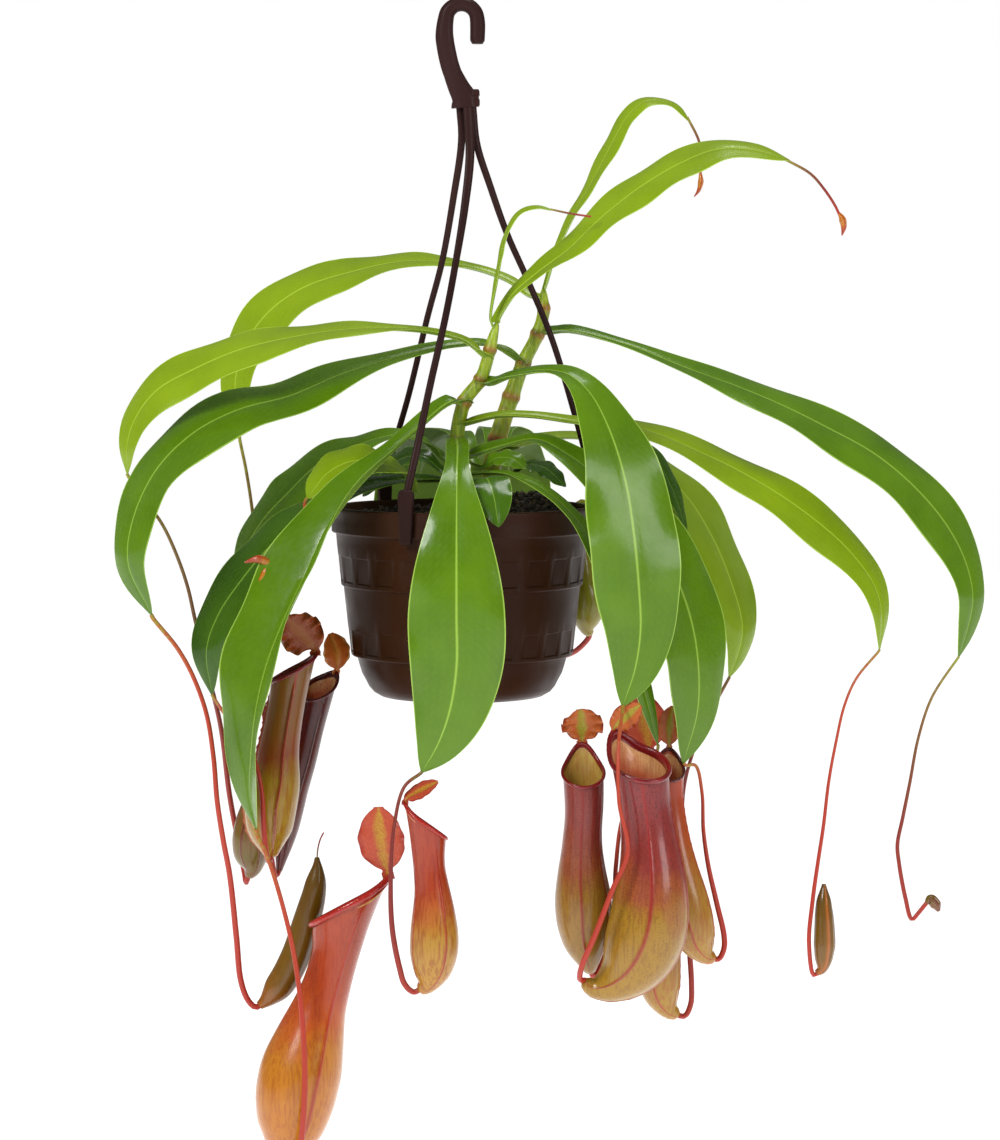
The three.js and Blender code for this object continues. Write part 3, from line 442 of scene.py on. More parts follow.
# Each strand leaves the foot's underside, bows out and ends in its tab outside the rim. The front
# one is moulded flat, 6 mm wide at the top. Each is its bearing, half widths and path.
strands = {
    "hanger_strand_front": (247, [3.1, 2.6, 2.1, 2.1, 2.2, 2.3], [
        (4, -2.6, -56.4), (5, -5, -85), (2, -12, -115), (-3, -23, -147), (-9, -38, -180), (-18, -55, -221),
        (-26, -70, -260)]),
    "hanger_strand_left": (127, [2.4, 2.0, 1.9, 1.9], [
        (-1, 2.4, -56.4), (0, 5, -75), (-5, 13, -109), (-12, 22, -147), (-21, 34, -180), (-33, 49, -228),
        (-43, 60, -262)]),
    "hanger_strand_right": (7, [2.4, 2.0, 1.9, 1.9], [
        (6.6, 0, -56.4), (9, 1, -78), (17, 2, -103), (27, 4, -131), (40, 6, -160), (54, 7, -194),
        (68, 9, -240), (74, 9.5, -262)]),
}
# The tab tapers from 9.6 mm at its shoulder to 7 mm at its foot, and stands just clear of the rim band's
# outside. Each row is height, half width, and its inner and outer radius.
tab_rows = ((-279.6, 2.6, 79.6, 81.4), (-280.6, 4.2, 79.0, 81.9), (-283.0, 4.8, 78.9, 82.0),
            (-294.0, 4.4, 78.9, 82.0), (-306.0, 3.8, 78.9, 82.0), (-310.4, 3.5, 78.9, 82.0),
            (-311.4, 2.6, 79.3, 81.5))
for name, (bearing, wide, points) in strands.items():
    a = math.radians(bearing)
    out, aside = np.array([math.cos(a), math.sin(a), 0.0]), np.array([-math.sin(a), math.cos(a), 0.0])
    end = 80.4 * out + (0, 0, -284)
    piece = skin(name, rod_rings(points + [tuple(end)], wide, [1.5, 1.4, 1.4, 1.5], 16, 60), 0, hanger_brown)
    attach(piece, "root")
    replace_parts(piece, name)
    tab_rings = []
    for height, half, inner, outer in tab_rows:
        corner = [(outer - 0.5, half), (outer, half - 0.6), (outer, 0.6 - half), (outer - 0.5, -half),
                  (inner + 0.4, -half), (inner, 0.5 - half), (inner, half - 0.5), (inner + 0.4, half)]
        tab_rings.append([out * r + aside * s + (0, 0, height) for r, s in corner])
    tab = skin(name + "_tab", tab_rings, 0, hanger_brown, sharp=24.0)
    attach(tab, "root")


# ---- Stems: two leaning shoots, yellow-green and woody orange-brown at each node, where a fallen
# leaf has left its scar. The back shoot is older, and its foot has turned woody.
stem_skin, spot = new_material("green_stem_with_woody_nodes")
# Fine ridges run the length of the shoot, about 1 mm apart.
ridged = add_node(stem_skin, "Mapping", {"Vector": spot, "Scale": (1.0, 1.0, 0.12)})
ridge = add_node(stem_skin, "TexNoise", {"Vector": ridged, "Scale": 600.0, "Detail": 4.0})
blotch = add_node(stem_skin, "TexNoise", {"Vector": spot, "Scale": 110.0, "Detail": 5.0})
green = add_node(stem_skin, "ValToRGB", {"Fac": ridge}, [(0.35, "#6C860C"), (0.65, "#9CB01A")])
woody = add_node(stem_skin, "ValToRGB", {"Fac": blotch},
                 [(0.35, "#4A2A0E"), (0.5, "#8A4E18"), (0.7, "#A8742E")])
scar = add_node(stem_skin, "Attribute", attribute_name="scar").outputs["Fac"]
ragged = add_node(stem_skin, "Math", {0: blotch, 1: 0.5, 2: -0.25}, operation="MULTIPLY_ADD")
worn = add_node(stem_skin, "Math", {0: scar, 1: ragged}, operation="ADD", use_clamp=True)
# Sockets 6 and 7 of a colour Mix node are its two colours.
tint = add_node(stem_skin, "Mix", {0: worn, 6: green, 7: woody}, data_type="RGBA")
relief = add_node(stem_skin, "Bump", {"Height": ridge, "Strength": 0.35, "Distance": 0.0006})
finish(stem_skin, {"Base Color": tint, "Normal": relief, "Roughness": 0.42})


def note(piece, label, levels, ends=(0.0, 0.0)):
    """Notes a level at each point of a skin's rings, and at the middle of its two ends, for its material."""
    told = np.concatenate([levels.ravel(), ends])
    piece.data.attributes.new(label, "FLOAT", "POINT").data.foreach_set("value", told)


# Each shoot's `nodes` are where its leaf nodes are along it, and `bark` how much of its foot is woody.
shoots = {
    "stem_front": dict(
        points=[(-4, -8, -295), (-4, -10, -270), (-3, -12, -252), (2, -14, -230), (11, -15, -218),
                (15, -15, -207), (18, -15, -195), (21, -15, -184)],
        radii=[5.0, 4.7, 4.3, 4.0, 3.6, 3.1], nodes=[0.36, 0.56, 0.7, 0.86], bark=0.0),
    "stem_back": dict(
        points=[(16, 14, -295), (18, 16, -270), (22, 18, -252), (29, 20, -230), (37, 21, -208),
                (45, 21, -192), (49, 21, -178), (49, 21, -164)],
        radii=[6.0, 5.8, 5.4, 4.9, 4.2, 3.8, 3.4], nodes=[0.3, 0.5, 0.66, 0.8, 0.92], bark=0.28),
}
STEM_SIDES = 28
STEM_RINGS = 120
for name, shoot in shoots.items():
    t = np.linspace(0.0, 1.0, STEM_RINGS)
    node = sum(np.exp(-((t - n) / 0.018) ** 2) for n in shoot["nodes"])
    below = sum(np.exp(-((t - n + 0.03) / 0.035) ** 2) for n in shoot["nodes"])
    # Each node is a low collar, a little thicker just above the leaf's scar, and the growing tip is
    # round and narrow.
    tip = 0.3 + 0.7 * np.sqrt(np.clip((1.0 - t) / 0.1, 0.0, 1.0))
    radius = (along(shoot["radii"], t) + 0.8 * node) * tip
    piece = skin(name, rod_rings(shoot["points"], radius, radius, STEM_SIDES, STEM_RINGS), 0, [stem_skin])
    woodiness = np.clip(0.8 * node + 0.12 * below + shoot["bark"] * (t < 0.45), 0.0, 1.0)
    note(piece, "scar", np.repeat(woodiness, STEM_SIDES), woodiness[[0, -1]])
    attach(piece, "root")
    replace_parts(piece, name)


# ---- Leaves: leathery waxed straps, each grown from its node as a channelled petiole that widens into
# the blade. The upper face is glossy with a pale sunken midrib and a thin pale margin, and the under
# face is paler and duller with a raised keel. New leaves are yellow-green and are painted paler still, a
# painted glow of light through them. Leaves that sit in shade are painted darker, as painted shade.
def surface_place(material):
    """Where the surface is across its piece (X) and along it (Y), each from 0 to 1."""
    uv = add_node(material, "UVMap", uv_map="surface")
    return add_node(material, "SeparateXYZ", {"Vector": uv}).outputs


def off_midline(material, place):
    """How far the surface is from its piece's midline, up to 0.5 at the margins."""
    off = add_node(material, "Math", {0: place["X"], 1: 0.5}, operation="SUBTRACT")
    return add_node(material, "Math", {0: off}, operation="ABSOLUTE")


def leaf_skin(name, deep, light, rib, margin, polish):
    """Waxed leaf: oblique and lengthwise veins just under a smooth cuticle."""
    leaf, spot = new_material(name)
    place = surface_place(leaf)
    side = add_node(leaf, "Math", {0: off_midline(leaf, place), 1: 2.0}, operation="MULTIPLY")
    # Clouds of tone about 40 mm across, and a finer mottle of 6 mm in the wax.
    cloud = add_node(leaf, "TexNoise", {"Vector": spot, "Scale": 25.0, "Detail": 3.0})
    tint = add_node(leaf, "ValToRGB", {"Fac": cloud}, [(0.25, deep), (0.75, light)])
    # Side veins leave the midrib about every 5 mm and lean towards the tip.
    lean = add_node(leaf, "Math", {0: side, 1: -0.11, 2: place["Y"]}, operation="MULTIPLY_ADD")
    rise = add_node(leaf, "CombineXYZ", {"X": lean, "Y": side})
    oblique = add_node(leaf, "TexWave", {
        "Vector": rise, "Scale": 15.0, "Distortion": 1.5, "Detail": 2.0, "Detail Scale": 0.5,
    }, bands_direction="X")
    lengthwise = add_node(leaf, "TexWave", {
        "Vector": rise, "Scale": 1.7, "Distortion": 0.3}, bands_direction="Y")
    veins = add_node(leaf, "Math", {
        0: oblique.outputs["Fac"], 1: lengthwise.outputs["Fac"]}, operation="MULTIPLY")
    vein_share = add_node(leaf, "Math", {0: veins, 1: 0.25}, operation="MULTIPLY")
    veined = add_node(leaf, "Mix", {0: vein_share, 6: tint, 7: srgb(light)}, data_type="RGBA")
    # The midrib is 1.5 mm wide on the blade, and fills most of the narrow petiole.
    reach = add_node(leaf, "MapRange", {
        "Value": place["Y"], "From Min": 0.0, "From Max": 0.3, "To Min": 0.24, "To Max": 0.045})
    on_rib = add_node(leaf, "MapRange", {
        "Value": side, "From Min": 0.0, "From Max": reach, "To Min": 1.0, "To Max": 0.0,
    }, interpolation_type="SMOOTHSTEP")
    ribbed = add_node(leaf, "Mix", {0: on_rib, 6: veined, 7: srgb(rib)}, data_type="RGBA")
    at_margin = add_node(leaf, "MapRange", {
        "Value": side, "From Min": 0.962, "From Max": 0.988}, interpolation_type="SMOOTHSTEP")
    edged = add_node(leaf, "Mix", {0: at_margin, 6: ribbed, 7: srgb(margin)}, data_type="RGBA")
    wax = add_node(leaf, "TexNoise", {"Vector": spot, "Scale": 160.0, "Detail": 4.0})
    sheen = add_node(leaf, "MapRange", {
        "Value": wax, "From Min": 0.35, "From Max": 0.7, "To Min": polish, "To Max": polish + 0.14})
    grain = add_node(leaf, "Math", {0: veins, 1: 0.12, 2: wax}, operation="MULTIPLY_ADD")
    relief = add_node(leaf, "Bump", {"Height": grain, "Strength": 0.3, "Distance": 0.0009})
    return finish(leaf, {
        "Base Color": edged, "Roughness": sheen, "Normal": relief, "IOR": 1.45, "Specular IOR Level": 0.22,
        "Coat Weight": 0.3, "Coat Roughness": 0.14})


# The upper face and then the under face of new, grown and shaded leaves. The new leaves' paler skin is
# partly their own yellow-green and partly a painted glow of light shining through the blade.
leaf_skins = {
    "young_and_backlit": [leaf_skin("waxed_young_leaf", "#6A8406", "#7E980C", "#9CB632", "#98B43C", 0.3),
              leaf_skin("young_leaf_underside", "#74902A", "#88A23C", "#A2B85C", "#98B43C", 0.42)],
    "mature": [leaf_skin("waxed_mature_leaf", "#426404", "#567A0A", "#86A83A", "#8CAC44", 0.24),
               leaf_skin("mature_leaf_underside", "#5C7E22", "#708F34", "#93AE54", "#8CAC44", 0.42)],
    # Painted shade: a darker copy of the skin for the leaves that sit in shade in the crown and behind.
    "dark": [leaf_skin("waxed_leaf_painted_shade", "#284806", "#3E600C", "#6E9030", "#749436", 0.2),
             leaf_skin("leaf_underside_painted_shade", "#4E6C20", "#607E30", "#84A04A", "#749436", 0.42)],
}


def blade_share(t):
    """A blade's width along it: narrow at the base, widest past the middle and pointed at the tip."""
    narrow = 0.24 + 0.76 * np.sin(math.pi / 2 * np.clip(t, 0, 0.55) / 0.55) ** 1.5
    pointed = np.maximum(0.035, (1 - np.clip((t - 0.55) / 0.45, 0, 1) ** 2) ** 0.75)
    return np.where(t < 0, 0.24 + 0.9 * t, np.where(t < 0.55, narrow, pointed))


def blade_rings(points, faces, wide=56, neck=0.0, fold=(0.35, 0.1, 0.04, 0.04), root=None,
                share=blade_share, keel=1.5, wave=0.06, rows=76):
    """Rings for a thin leathery sheet: its upper side from margin to margin, then back underneath."""
    places, on = smooth_path(([root] if root else []) + list(points), rows)
    gone = distances(places)
    first = np.argmin(np.linalg.norm(places - np.array(points[0]), axis=1)) if root else 0
    t = (gone - gone[first]) / (gone[-1] - gone[first])
    on_blade = np.clip(t, 0, 1)
    across, up = turned_up(on, faces, on_blade)
    grown_out = np.where(t > 0, np.maximum(0, (t - neck) / (1 - neck)), t)
    half = wide / 2 * np.maximum(share(grown_out), 0.02)[:, None]
    part = np.linspace(-1.0, 1.0, 17)
    phase = 0.7 * points[0][0] + 0.4 * points[-1][1]
    ripple = np.sin(30 * t + phase)[:, None] * (part > 0) + np.sin(26 * t + 2 * phase)[:, None] * (part < 0)
    rise = along(fold, on_blade)[:, None] * abs(part) - 0.12 * part ** 2 + wave * ripple * part ** 4
    # The midrib is sunk above and stands out below, less and less towards the tip.
    rib = np.exp(-((part * half) / 1.3) ** 2) * np.minimum(1, half / 5)
    thick = np.minimum(0.9 * (1 - 0.65 * part ** 2), half * 1.2)
    under = half * rise - thick - keel * rib * (1 - 0.7 * on_blade[:, None])
    lift = np.concatenate([half * rise - 0.35 * rib, under[:, ::-1]], axis=1)
    return rings_about(places, across, up, half * np.concatenate([part, part[::-1] * 0.997]), lift)


def sheet(name, rings, materials):
    """A thin closed sheet with one material above and the other below."""
    columns = rings.shape[1] // 2
    over = np.linspace(0.0, 1.0, columns)
    slots = np.array([0] * columns + [1] * (columns - 1) + [0])
    return skin(name, rings, slots, materials, sharp=70.0, around=np.concatenate([over, over[::-1], [0.0]]))


def clasp(point):
    """The place inside the nearest shoot where a leaf that starts at this point is attached.

    A leaf that starts further than 26 mm from both shoots has none, and its foot stays in the open.
    """
    low = np.array(point) - (0, 0, 3)
    near = [min(smooth_path(shoot["points"], 60)[0], key=lambda place: np.linalg.norm(place - low))
            for shoot in shoots.values()]
    best = min(near, key=lambda place: np.linalg.norm(place - point))
    return tuple(best) if np.linalg.norm(best - point) < 26 else None


# Each leaf's tone, greatest width, share that is bare petiole and height of its sides, the way that its
# upper face looks from base to tip, and its midrib. The palest tone is partly a painted glow, and the
# darkest is painted shade.
leaves = {
    "leaf_left_top": dict(tone="young_and_backlit", wide=44, neck=0.1,
        faces=[(0, -0.2, 1), (0, -0.3, 1), (-0.4, -0.55, 1), (-0.9, -0.95, 0.4), (-0.8, -1, 0)],
        points=[(41, 26, -167), (28, 31, -158), (5, 38, -150), (-32, 46, -146), (-69, 52, -153),
                (-99, 56, -163), (-121, 58, -179), (-135, 58, -200), (-140, 55, -222), (-137, 52, -252)]),
    "leaf_left_middle": dict(tone="young_and_backlit", wide=42, neck=0.12,
        faces=[(0, -0.2, 1), (0, -0.3, 1), (-0.2, -0.45, 1), (-0.8, -0.9, 0.8), (-1, -0.8, 0)],
        points=[(12, -19, -201), (3, -20, -194), (-10, -23, -190), (-30, -29, -187), (-65, -38, -187),
                (-100, -42, -192), (-129, -44, -199), (-155, -45, -210), (-178, -45, -223),
                (-191, -44, -240), (-196, -42, -256), (-196, -40, -272)]),
    "leaf_left_large": dict(tone="mature", wide=50, neck=0.12,
        faces=[(0, -0.3, 1), (0, -0.4, 1), (-0.3, -0.7, 1), (-1, -0.8, 0.6), (-0.9, -0.9, 0)],
        points=[(29, 15, -202), (17, 3, -196), (-7, -6, -197), (-36, -14, -203), (-69, -26, -213),
                (-100, -38, -226), (-130, -50, -234), (-155, -60, -247), (-176, -68, -268),
                (-189, -74, -296), (-192, -76, -322), (-179, -73, -352)]),
    "leaf_left_behind": dict(tone="mature", wide=42, neck=0.1,
        faces=[(0, -0.3, 1), (-0.3, -0.5, 1), (-0.7, -0.7, 0.7), (-1, -0.5, 0.3)],
        points=[(-12, -6, -263), (-21, -11, -254), (-39, -13, -250), (-64, -11, -257), (-86, -8, -268),
                (-105, -9, -286), (-119, -7, -301), (-131, -7, -321), (-139, -7, -341)]),
    "leaf_left_short": dict(tone="young_and_backlit", wide=34,
        faces=[(0.8, 0.2, 0.6), (-0.2, -0.6, 1), (-0.6, -0.8, 0.6)],
        points=[(-27, -37, -282), (-31, -42, -272), (-44, -44, -266), (-63, -44, -264), (-78, -45, -271),
                (-90, -49, -286)]),
    "leaf_left_low": dict(tone="dark", wide=42,
        faces=[(0, -0.3, 1), (-0.4, -0.5, 1), (-0.8, -0.9, 0.5), (-0.7, -1, 0)],
        points=[(-20, -20, -276), (-44, -29, -277), (-68, -38, -283), (-91, -44, -296), (-112, -46, -314),
                (-129, -45, -334), (-143, -45, -355), (-150, -44, -376), (-147, -42, -402)]),
    "leaf_front_left": dict(tone="mature", wide=62, neck=0.16, fold=(0.35, 0.62, 0.62, 0.5, 0.3),
        faces=[(-0.2, -0.4, 1), (-0.75, -0.5, 0.7), (-0.95, -0.6, 0.3), (-1.05, -0.62, 0.15),
               (-1.0, -0.6, 0.05)],
        points=[(-3, -22, -229), (-10, -25, -232), (-21, -31, -241), (-33, -43, -251), (-45, -55, -262),
                (-63, -70, -281), (-78, -79, -303), (-91, -84, -332), (-103, -88, -358), (-112, -90, -382),
                (-118, -89, -408), (-121, -85, -433), (-122, -79, -456), (-119, -74, -477)]),
    "leaf_front": dict(tone="mature", neck=0.2,
        faces=[(0, -0.3, 1), (0, -1, 0.8), (0, -1, 0.1), (0.1, -1, -0.1)],
        points=[(-3, -19, -252), (-2, -46, -257), (-2, -72, -268), (-2, -92, -290), (-2, -101, -318),
                (-2, -103, -350), (-2, -101, -379), (-6, -98, -405), (-13, -95, -425), (-22, -92, -441)]),
    "leaf_front_right": dict(tone="mature", neck=0.16,
        faces=[(0, -0.4, 1), (0.1, -0.5, 1), (0.4, -1, 0.6), (0.3, -1, 0.1), (0.1, -1, 0)],
        points=[(17, -21, -219), (27, -29, -215), (46, -42, -211), (62, -54, -213), (75, -64, -224),
                (86, -72, -245), (95, -78, -274), (100, -80, -305), (103, -80, -337), (104, -78, -360),
                (101, -76, -383), (94, -74, -405)]),
    "leaf_right_low": dict(tone="mature", wide=54, neck=0.12,
        faces=[(0, -0.4, 1), (0.2, -0.5, 1), (0.7, -1, 0.6), (0.8, -1, 0.1), (0.6, -1, 0)],
        points=[(5, -19, -262), (24, -20, -256), (44, -24, -252), (60, -31, -259), (82, -39, -275),
                (105, -45, -299), (124, -48, -328), (134, -50, -354), (139, -50, -381), (139, -48, -411),
                (131, -46, -442)]),
    "leaf_right_behind": dict(tone="young_and_backlit", wide=52, neck=0.1,
        faces=[(0.1, -0.2, 1), (0.3, -0.3, 1), (0.9, -0.7, 0.5), (1, -0.8, 0.1)],
        points=[(31, 9, -258), (45, 21, -254), (72, 33, -253), (101, 31, -261), (132, 27, -284),
                (151, 24, -312), (164, 22, -343), (170, 20, -367), (168, 18, -382), (162, 16, -398)]),
    "leaf_right_middle": dict(tone="young_and_backlit", wide=42, neck=0.12,
        faces=[(0, -0.3, 1), (0.1, -0.3, 1), (0.2, -0.42, 1), (0.6, -0.8, 0.8), (1, -0.6, 0)],
        points=[(5, -17, -242), (22, -18, -238), (41, -20, -238), (71, -24, -242), (94, -28, -243),
                (114, -30, -248), (140, -32, -259), (163, -34, -270), (190, -36, -286), (213, -38, -303),
                (229, -38, -318), (243, -38, -337), (248, -37, -354), (247, -36, -376)]),
    "leaf_right_large": dict(tone="mature", wide=50, neck=0.12,
        faces=[(0, -0.3, 1), (0.1, -0.4, 1), (0.2, -0.5, 1), (0.5, -0.7, 0.9), (1, -0.8, 0.2)],
        points=[(52, 19, -189), (64, 13, -188), (100, 6, -197), (133, 0, -210), (166, -4, -222),
                (192, -8, -233), (218, -12, -246), (245, -16, -261), (269, -20, -281), (288, -24, -304),
                (299, -26, -326), (303, -27, -346), (300, -27, -365), (295, -27, -381)]),
    "leaf_crown_long": dict(tone="mature", wide=18,
        faces=[(0.1, -0.3, 1), (0.6, -0.6, 1), (0.8, -1, 0.3), (0.3, -1, 0)],
        points=[(4, -34, -272), (25, -48, -271), (43, -60, -277), (59, -67, -288), (74, -66, -306),
                (88, -58, -340), (102, -52, -380), (111, -46, -412), (116, -42, -432)]),
    "leaf_crown_front": dict(tone="dark", wide=24,
        faces=[(0, -0.2, 1), (0, -0.6, 1), (0, -1, 0.3)],
        points=[(11, -40, -285), (11, -52, -276), (15, -66, -273), (19, -80, -282), (22, -89, -300)]),
    "leaf_crown_blunt": dict(tone="mature", wide=15,
        faces=[(0, -0.8, 1), (0.2, -0.8, 1)],
        points=[(12, -29, -269), (20, -34, -263), (30, -39, -263), (38, -43, -269)]),
    "leaf_crown_right": dict(tone="dark", wide=22,
        faces=[(0, -0.3, 1), (0.5, -0.5, 1)],
        points=[(29, 4, -274), (38, -2, -268), (50, -7, -270), (62, -12, -281)]),
    "leaf_crown_left": dict(tone="dark", wide=24,
        faces=[(0, -0.5, 1), (-0.5, -0.6, 1)],
        points=[(-12, -2, -272), (-22, 0, -264), (-34, 4, -264), (-48, 8, -273), (-60, 10, -288)]),
    "leaf_right_dark": dict(tone="dark", wide=18,
        faces=[(0.1, -0.3, 1), (0.8, -0.7, 0.6), (1, -0.7, 0.1)],
        points=[(72, 5, -262), (88, 6, -254), (104, 6, -256), (118, 5, -268), (128, 3, -287),
                (135, 1, -309)]),
    "leaf_back": dict(tone="mature", wide=50,
        faces=[(0, 0.2, 1), (0, 0.6, 1), (0, 1, 0.5), (0, 1, 0)],
        points=[(20, 26, -264), (22, 40, -251), (24, 62, -250), (27, 84, -264), (30, 99, -292),
                (32, 105, -328), (34, 102, -364)]),
    "leaf_back_left": dict(tone="mature", wide=48,
        faces=[(0, 0.2, 1), (-0.2, 0.6, 1), (-0.3, 1, 0.5), (-0.2, 1, 0)],
        points=[(6, 24, -268), (-2, 40, -252), (-14, 60, -252), (-26, 78, -266), (-34, 90, -296),
                (-38, 95, -332), (-38, 92, -368)]),
    "leaf_top": dict(tone="young_and_backlit", wide=38,
        faces=[(-0.6, -0.5, 1), (-0.5, -0.6, 1), (-0.3, -0.6, 1), (0.1, -0.5, 1)],
        points=[(21, -15, -182), (30, -17, -167), (46, -19, -153), (62, -21, -141), (82, -24, -122),
                (105, -27, -104), (131, -29, -89), (151, -31, -82), (172, -33, -83), (192, -34, -89)]),
    "leaf_top_narrow": dict(tone="young_and_backlit", wide=21,
        faces=[(-1, -0.3, 0.5), (-0.8, -0.3, 0.6), (-0.5, -0.4, 0.8), (0.3, -0.4, 1)],
        points=[(51, 22, -158), (56, 24, -141), (67, 27, -118), (80, 30, -95), (91, 33, -74), (99, 35, -60),
                (109, 36, -51), (120, 37, -50), (129, 38, -53), (138, 38, -63)]),
    "leaf_top_small": dict(tone="young_and_backlit", wide=9,
        faces=[(-1, -0.3, 0.2), (-0.9, -0.3, 0.4), (-0.2, -0.4, 1)],
        points=[(17, -20, -183), (20, -23, -160), (25, -25, -135), (29, -28, -125), (36, -31, -118),
                (44, -34, -116), (54, -36, -118)]),
}
for name, leaf in leaves.items():
    tone = leaf.pop("tone")
    piece = sheet(name, blade_rings(root=clasp(leaf["points"][0]), **leaf), leaf_skins[tone])
    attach(piece, "root")
    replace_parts(piece, name)


# ---- Tendrils: the midrib of each leaf runs on past the tip as a hanging stalk, green-brown at the leaf
# and red where it swells into the pitcher that it carries. Old ones are maroon all the way down.
def tendril_skin(name, stops):
    """Tendril bark: smooth and a little waxy, its colour set by how far along it is."""
    bark, spot = new_material(name)
    place = add_node(bark, "Attribute", attribute_name="along").outputs["Fac"]
    # Short stripes about 3 mm long, drawn wider than real so that they show.
    fleck = add_node(bark, "TexNoise", {"Vector": spot, "Scale": 350.0, "Detail": 3.0})
    shifted = add_node(bark, "Math", {0: fleck, 1: 0.3, 2: -0.15}, operation="MULTIPLY_ADD")
    drift = add_node(bark, "Math", {0: place, 1: shifted}, use_clamp=True)
    tint = add_node(bark, "ValToRGB", {"Fac": drift}, stops)
    relief = add_node(bark, "Bump", {"Height": fleck, "Strength": 0.25, "Distance": 0.0004})
    return finish(bark, {
        "Base Color": tint, "Normal": relief, "Roughness": 0.38, "Specular IOR Level": 0.35})


barks = {
    "red": tendril_skin("red_tendril_bark", [
        (0.0, "#8E7A2C"), (0.06, "#A0522A"), (0.2, "#A63C24"), (0.5, "#A0301E"), (1.0, "#9E2A1C")]),
    "maroon": tendril_skin("maroon_tendril_bark", [
        (0.0, "#6E5A2A"), (0.08, "#7A3426"), (0.3, "#6E241E"), (0.7, "#7E261E"), (1.0, "#962C1E")]),
    "tan": tendril_skin("tan_tendril_bark", [
        (0.0, "#868A28"), (0.12, "#7E662C"), (0.35, "#6E4424"), (0.6, "#7A2A20"), (1.0, "#9A2A1C")]),
}

# A round stalk is swept along each curve. Its radius runs evenly from the leaf to the pitcher.
stalk, given = new_tree("tapering_stalk",
                        {"Radius at leaf": "Float", "Radius at pitcher": "Float", "Sides": "Int"})
far = add_node(stalk, "GeometryNodeSplineParameter").outputs["Factor"]
noted = add_node(stalk, "GeometryNodeStoreNamedAttribute", {
    "Geometry": given["Geometry"], "Name": "along", "Value": far}, domain="POINT")
taper = add_node(stalk, "ShaderNodeMapRange", {
    "Value": far, "From Min": 0.1, "From Max": 0.9, "To Min": given["Radius at leaf"],
    "To Max": given["Radius at pitcher"]}, interpolation_type="SMOOTHSTEP")
outline = add_node(stalk, "GeometryNodeCurvePrimitiveCircle", {"Resolution": given["Sides"], "Radius": 1.0})
swept = add_node(stalk, "GeometryNodeCurveToMesh", {
    "Curve": noted, "Profile Curve": outline, "Scale": taper, "Fill Caps": True})
end_tree(stalk, add_node(stalk, "GeometryNodeSetShadeSmooth", {"Geometry": swept}), given["Material"])


def swept_stalk(name, points, radii, bark, count):
    """A tapering stalk along the points, made by the tree above."""
    curve = bpy.data.curves.new(name + "_path", "CURVE")
    curve.dimensions = "3D"
    spline = curve.splines.new("POLY")
    spline.points.add(count - 1)
    places = smooth_path(points, count)[0] * 0.001
    spline.points.foreach_set("co", np.concatenate([places, np.ones((count, 1))], axis=1).ravel())
    path = bpy.data.objects.new(name + "_path", curve)
    scene.collection.objects.link(path)
    piece = grown(name, path, stalk, {
        "Radius at leaf": radii[0] * 0.001, "Radius at pitcher": radii[1] * 0.001, "Sides": 12,
        "Material": barks[bark]})
    bpy.data.objects.remove(path)
    bpy.data.curves.remove(curve)
    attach(piece, "root")
    return piece


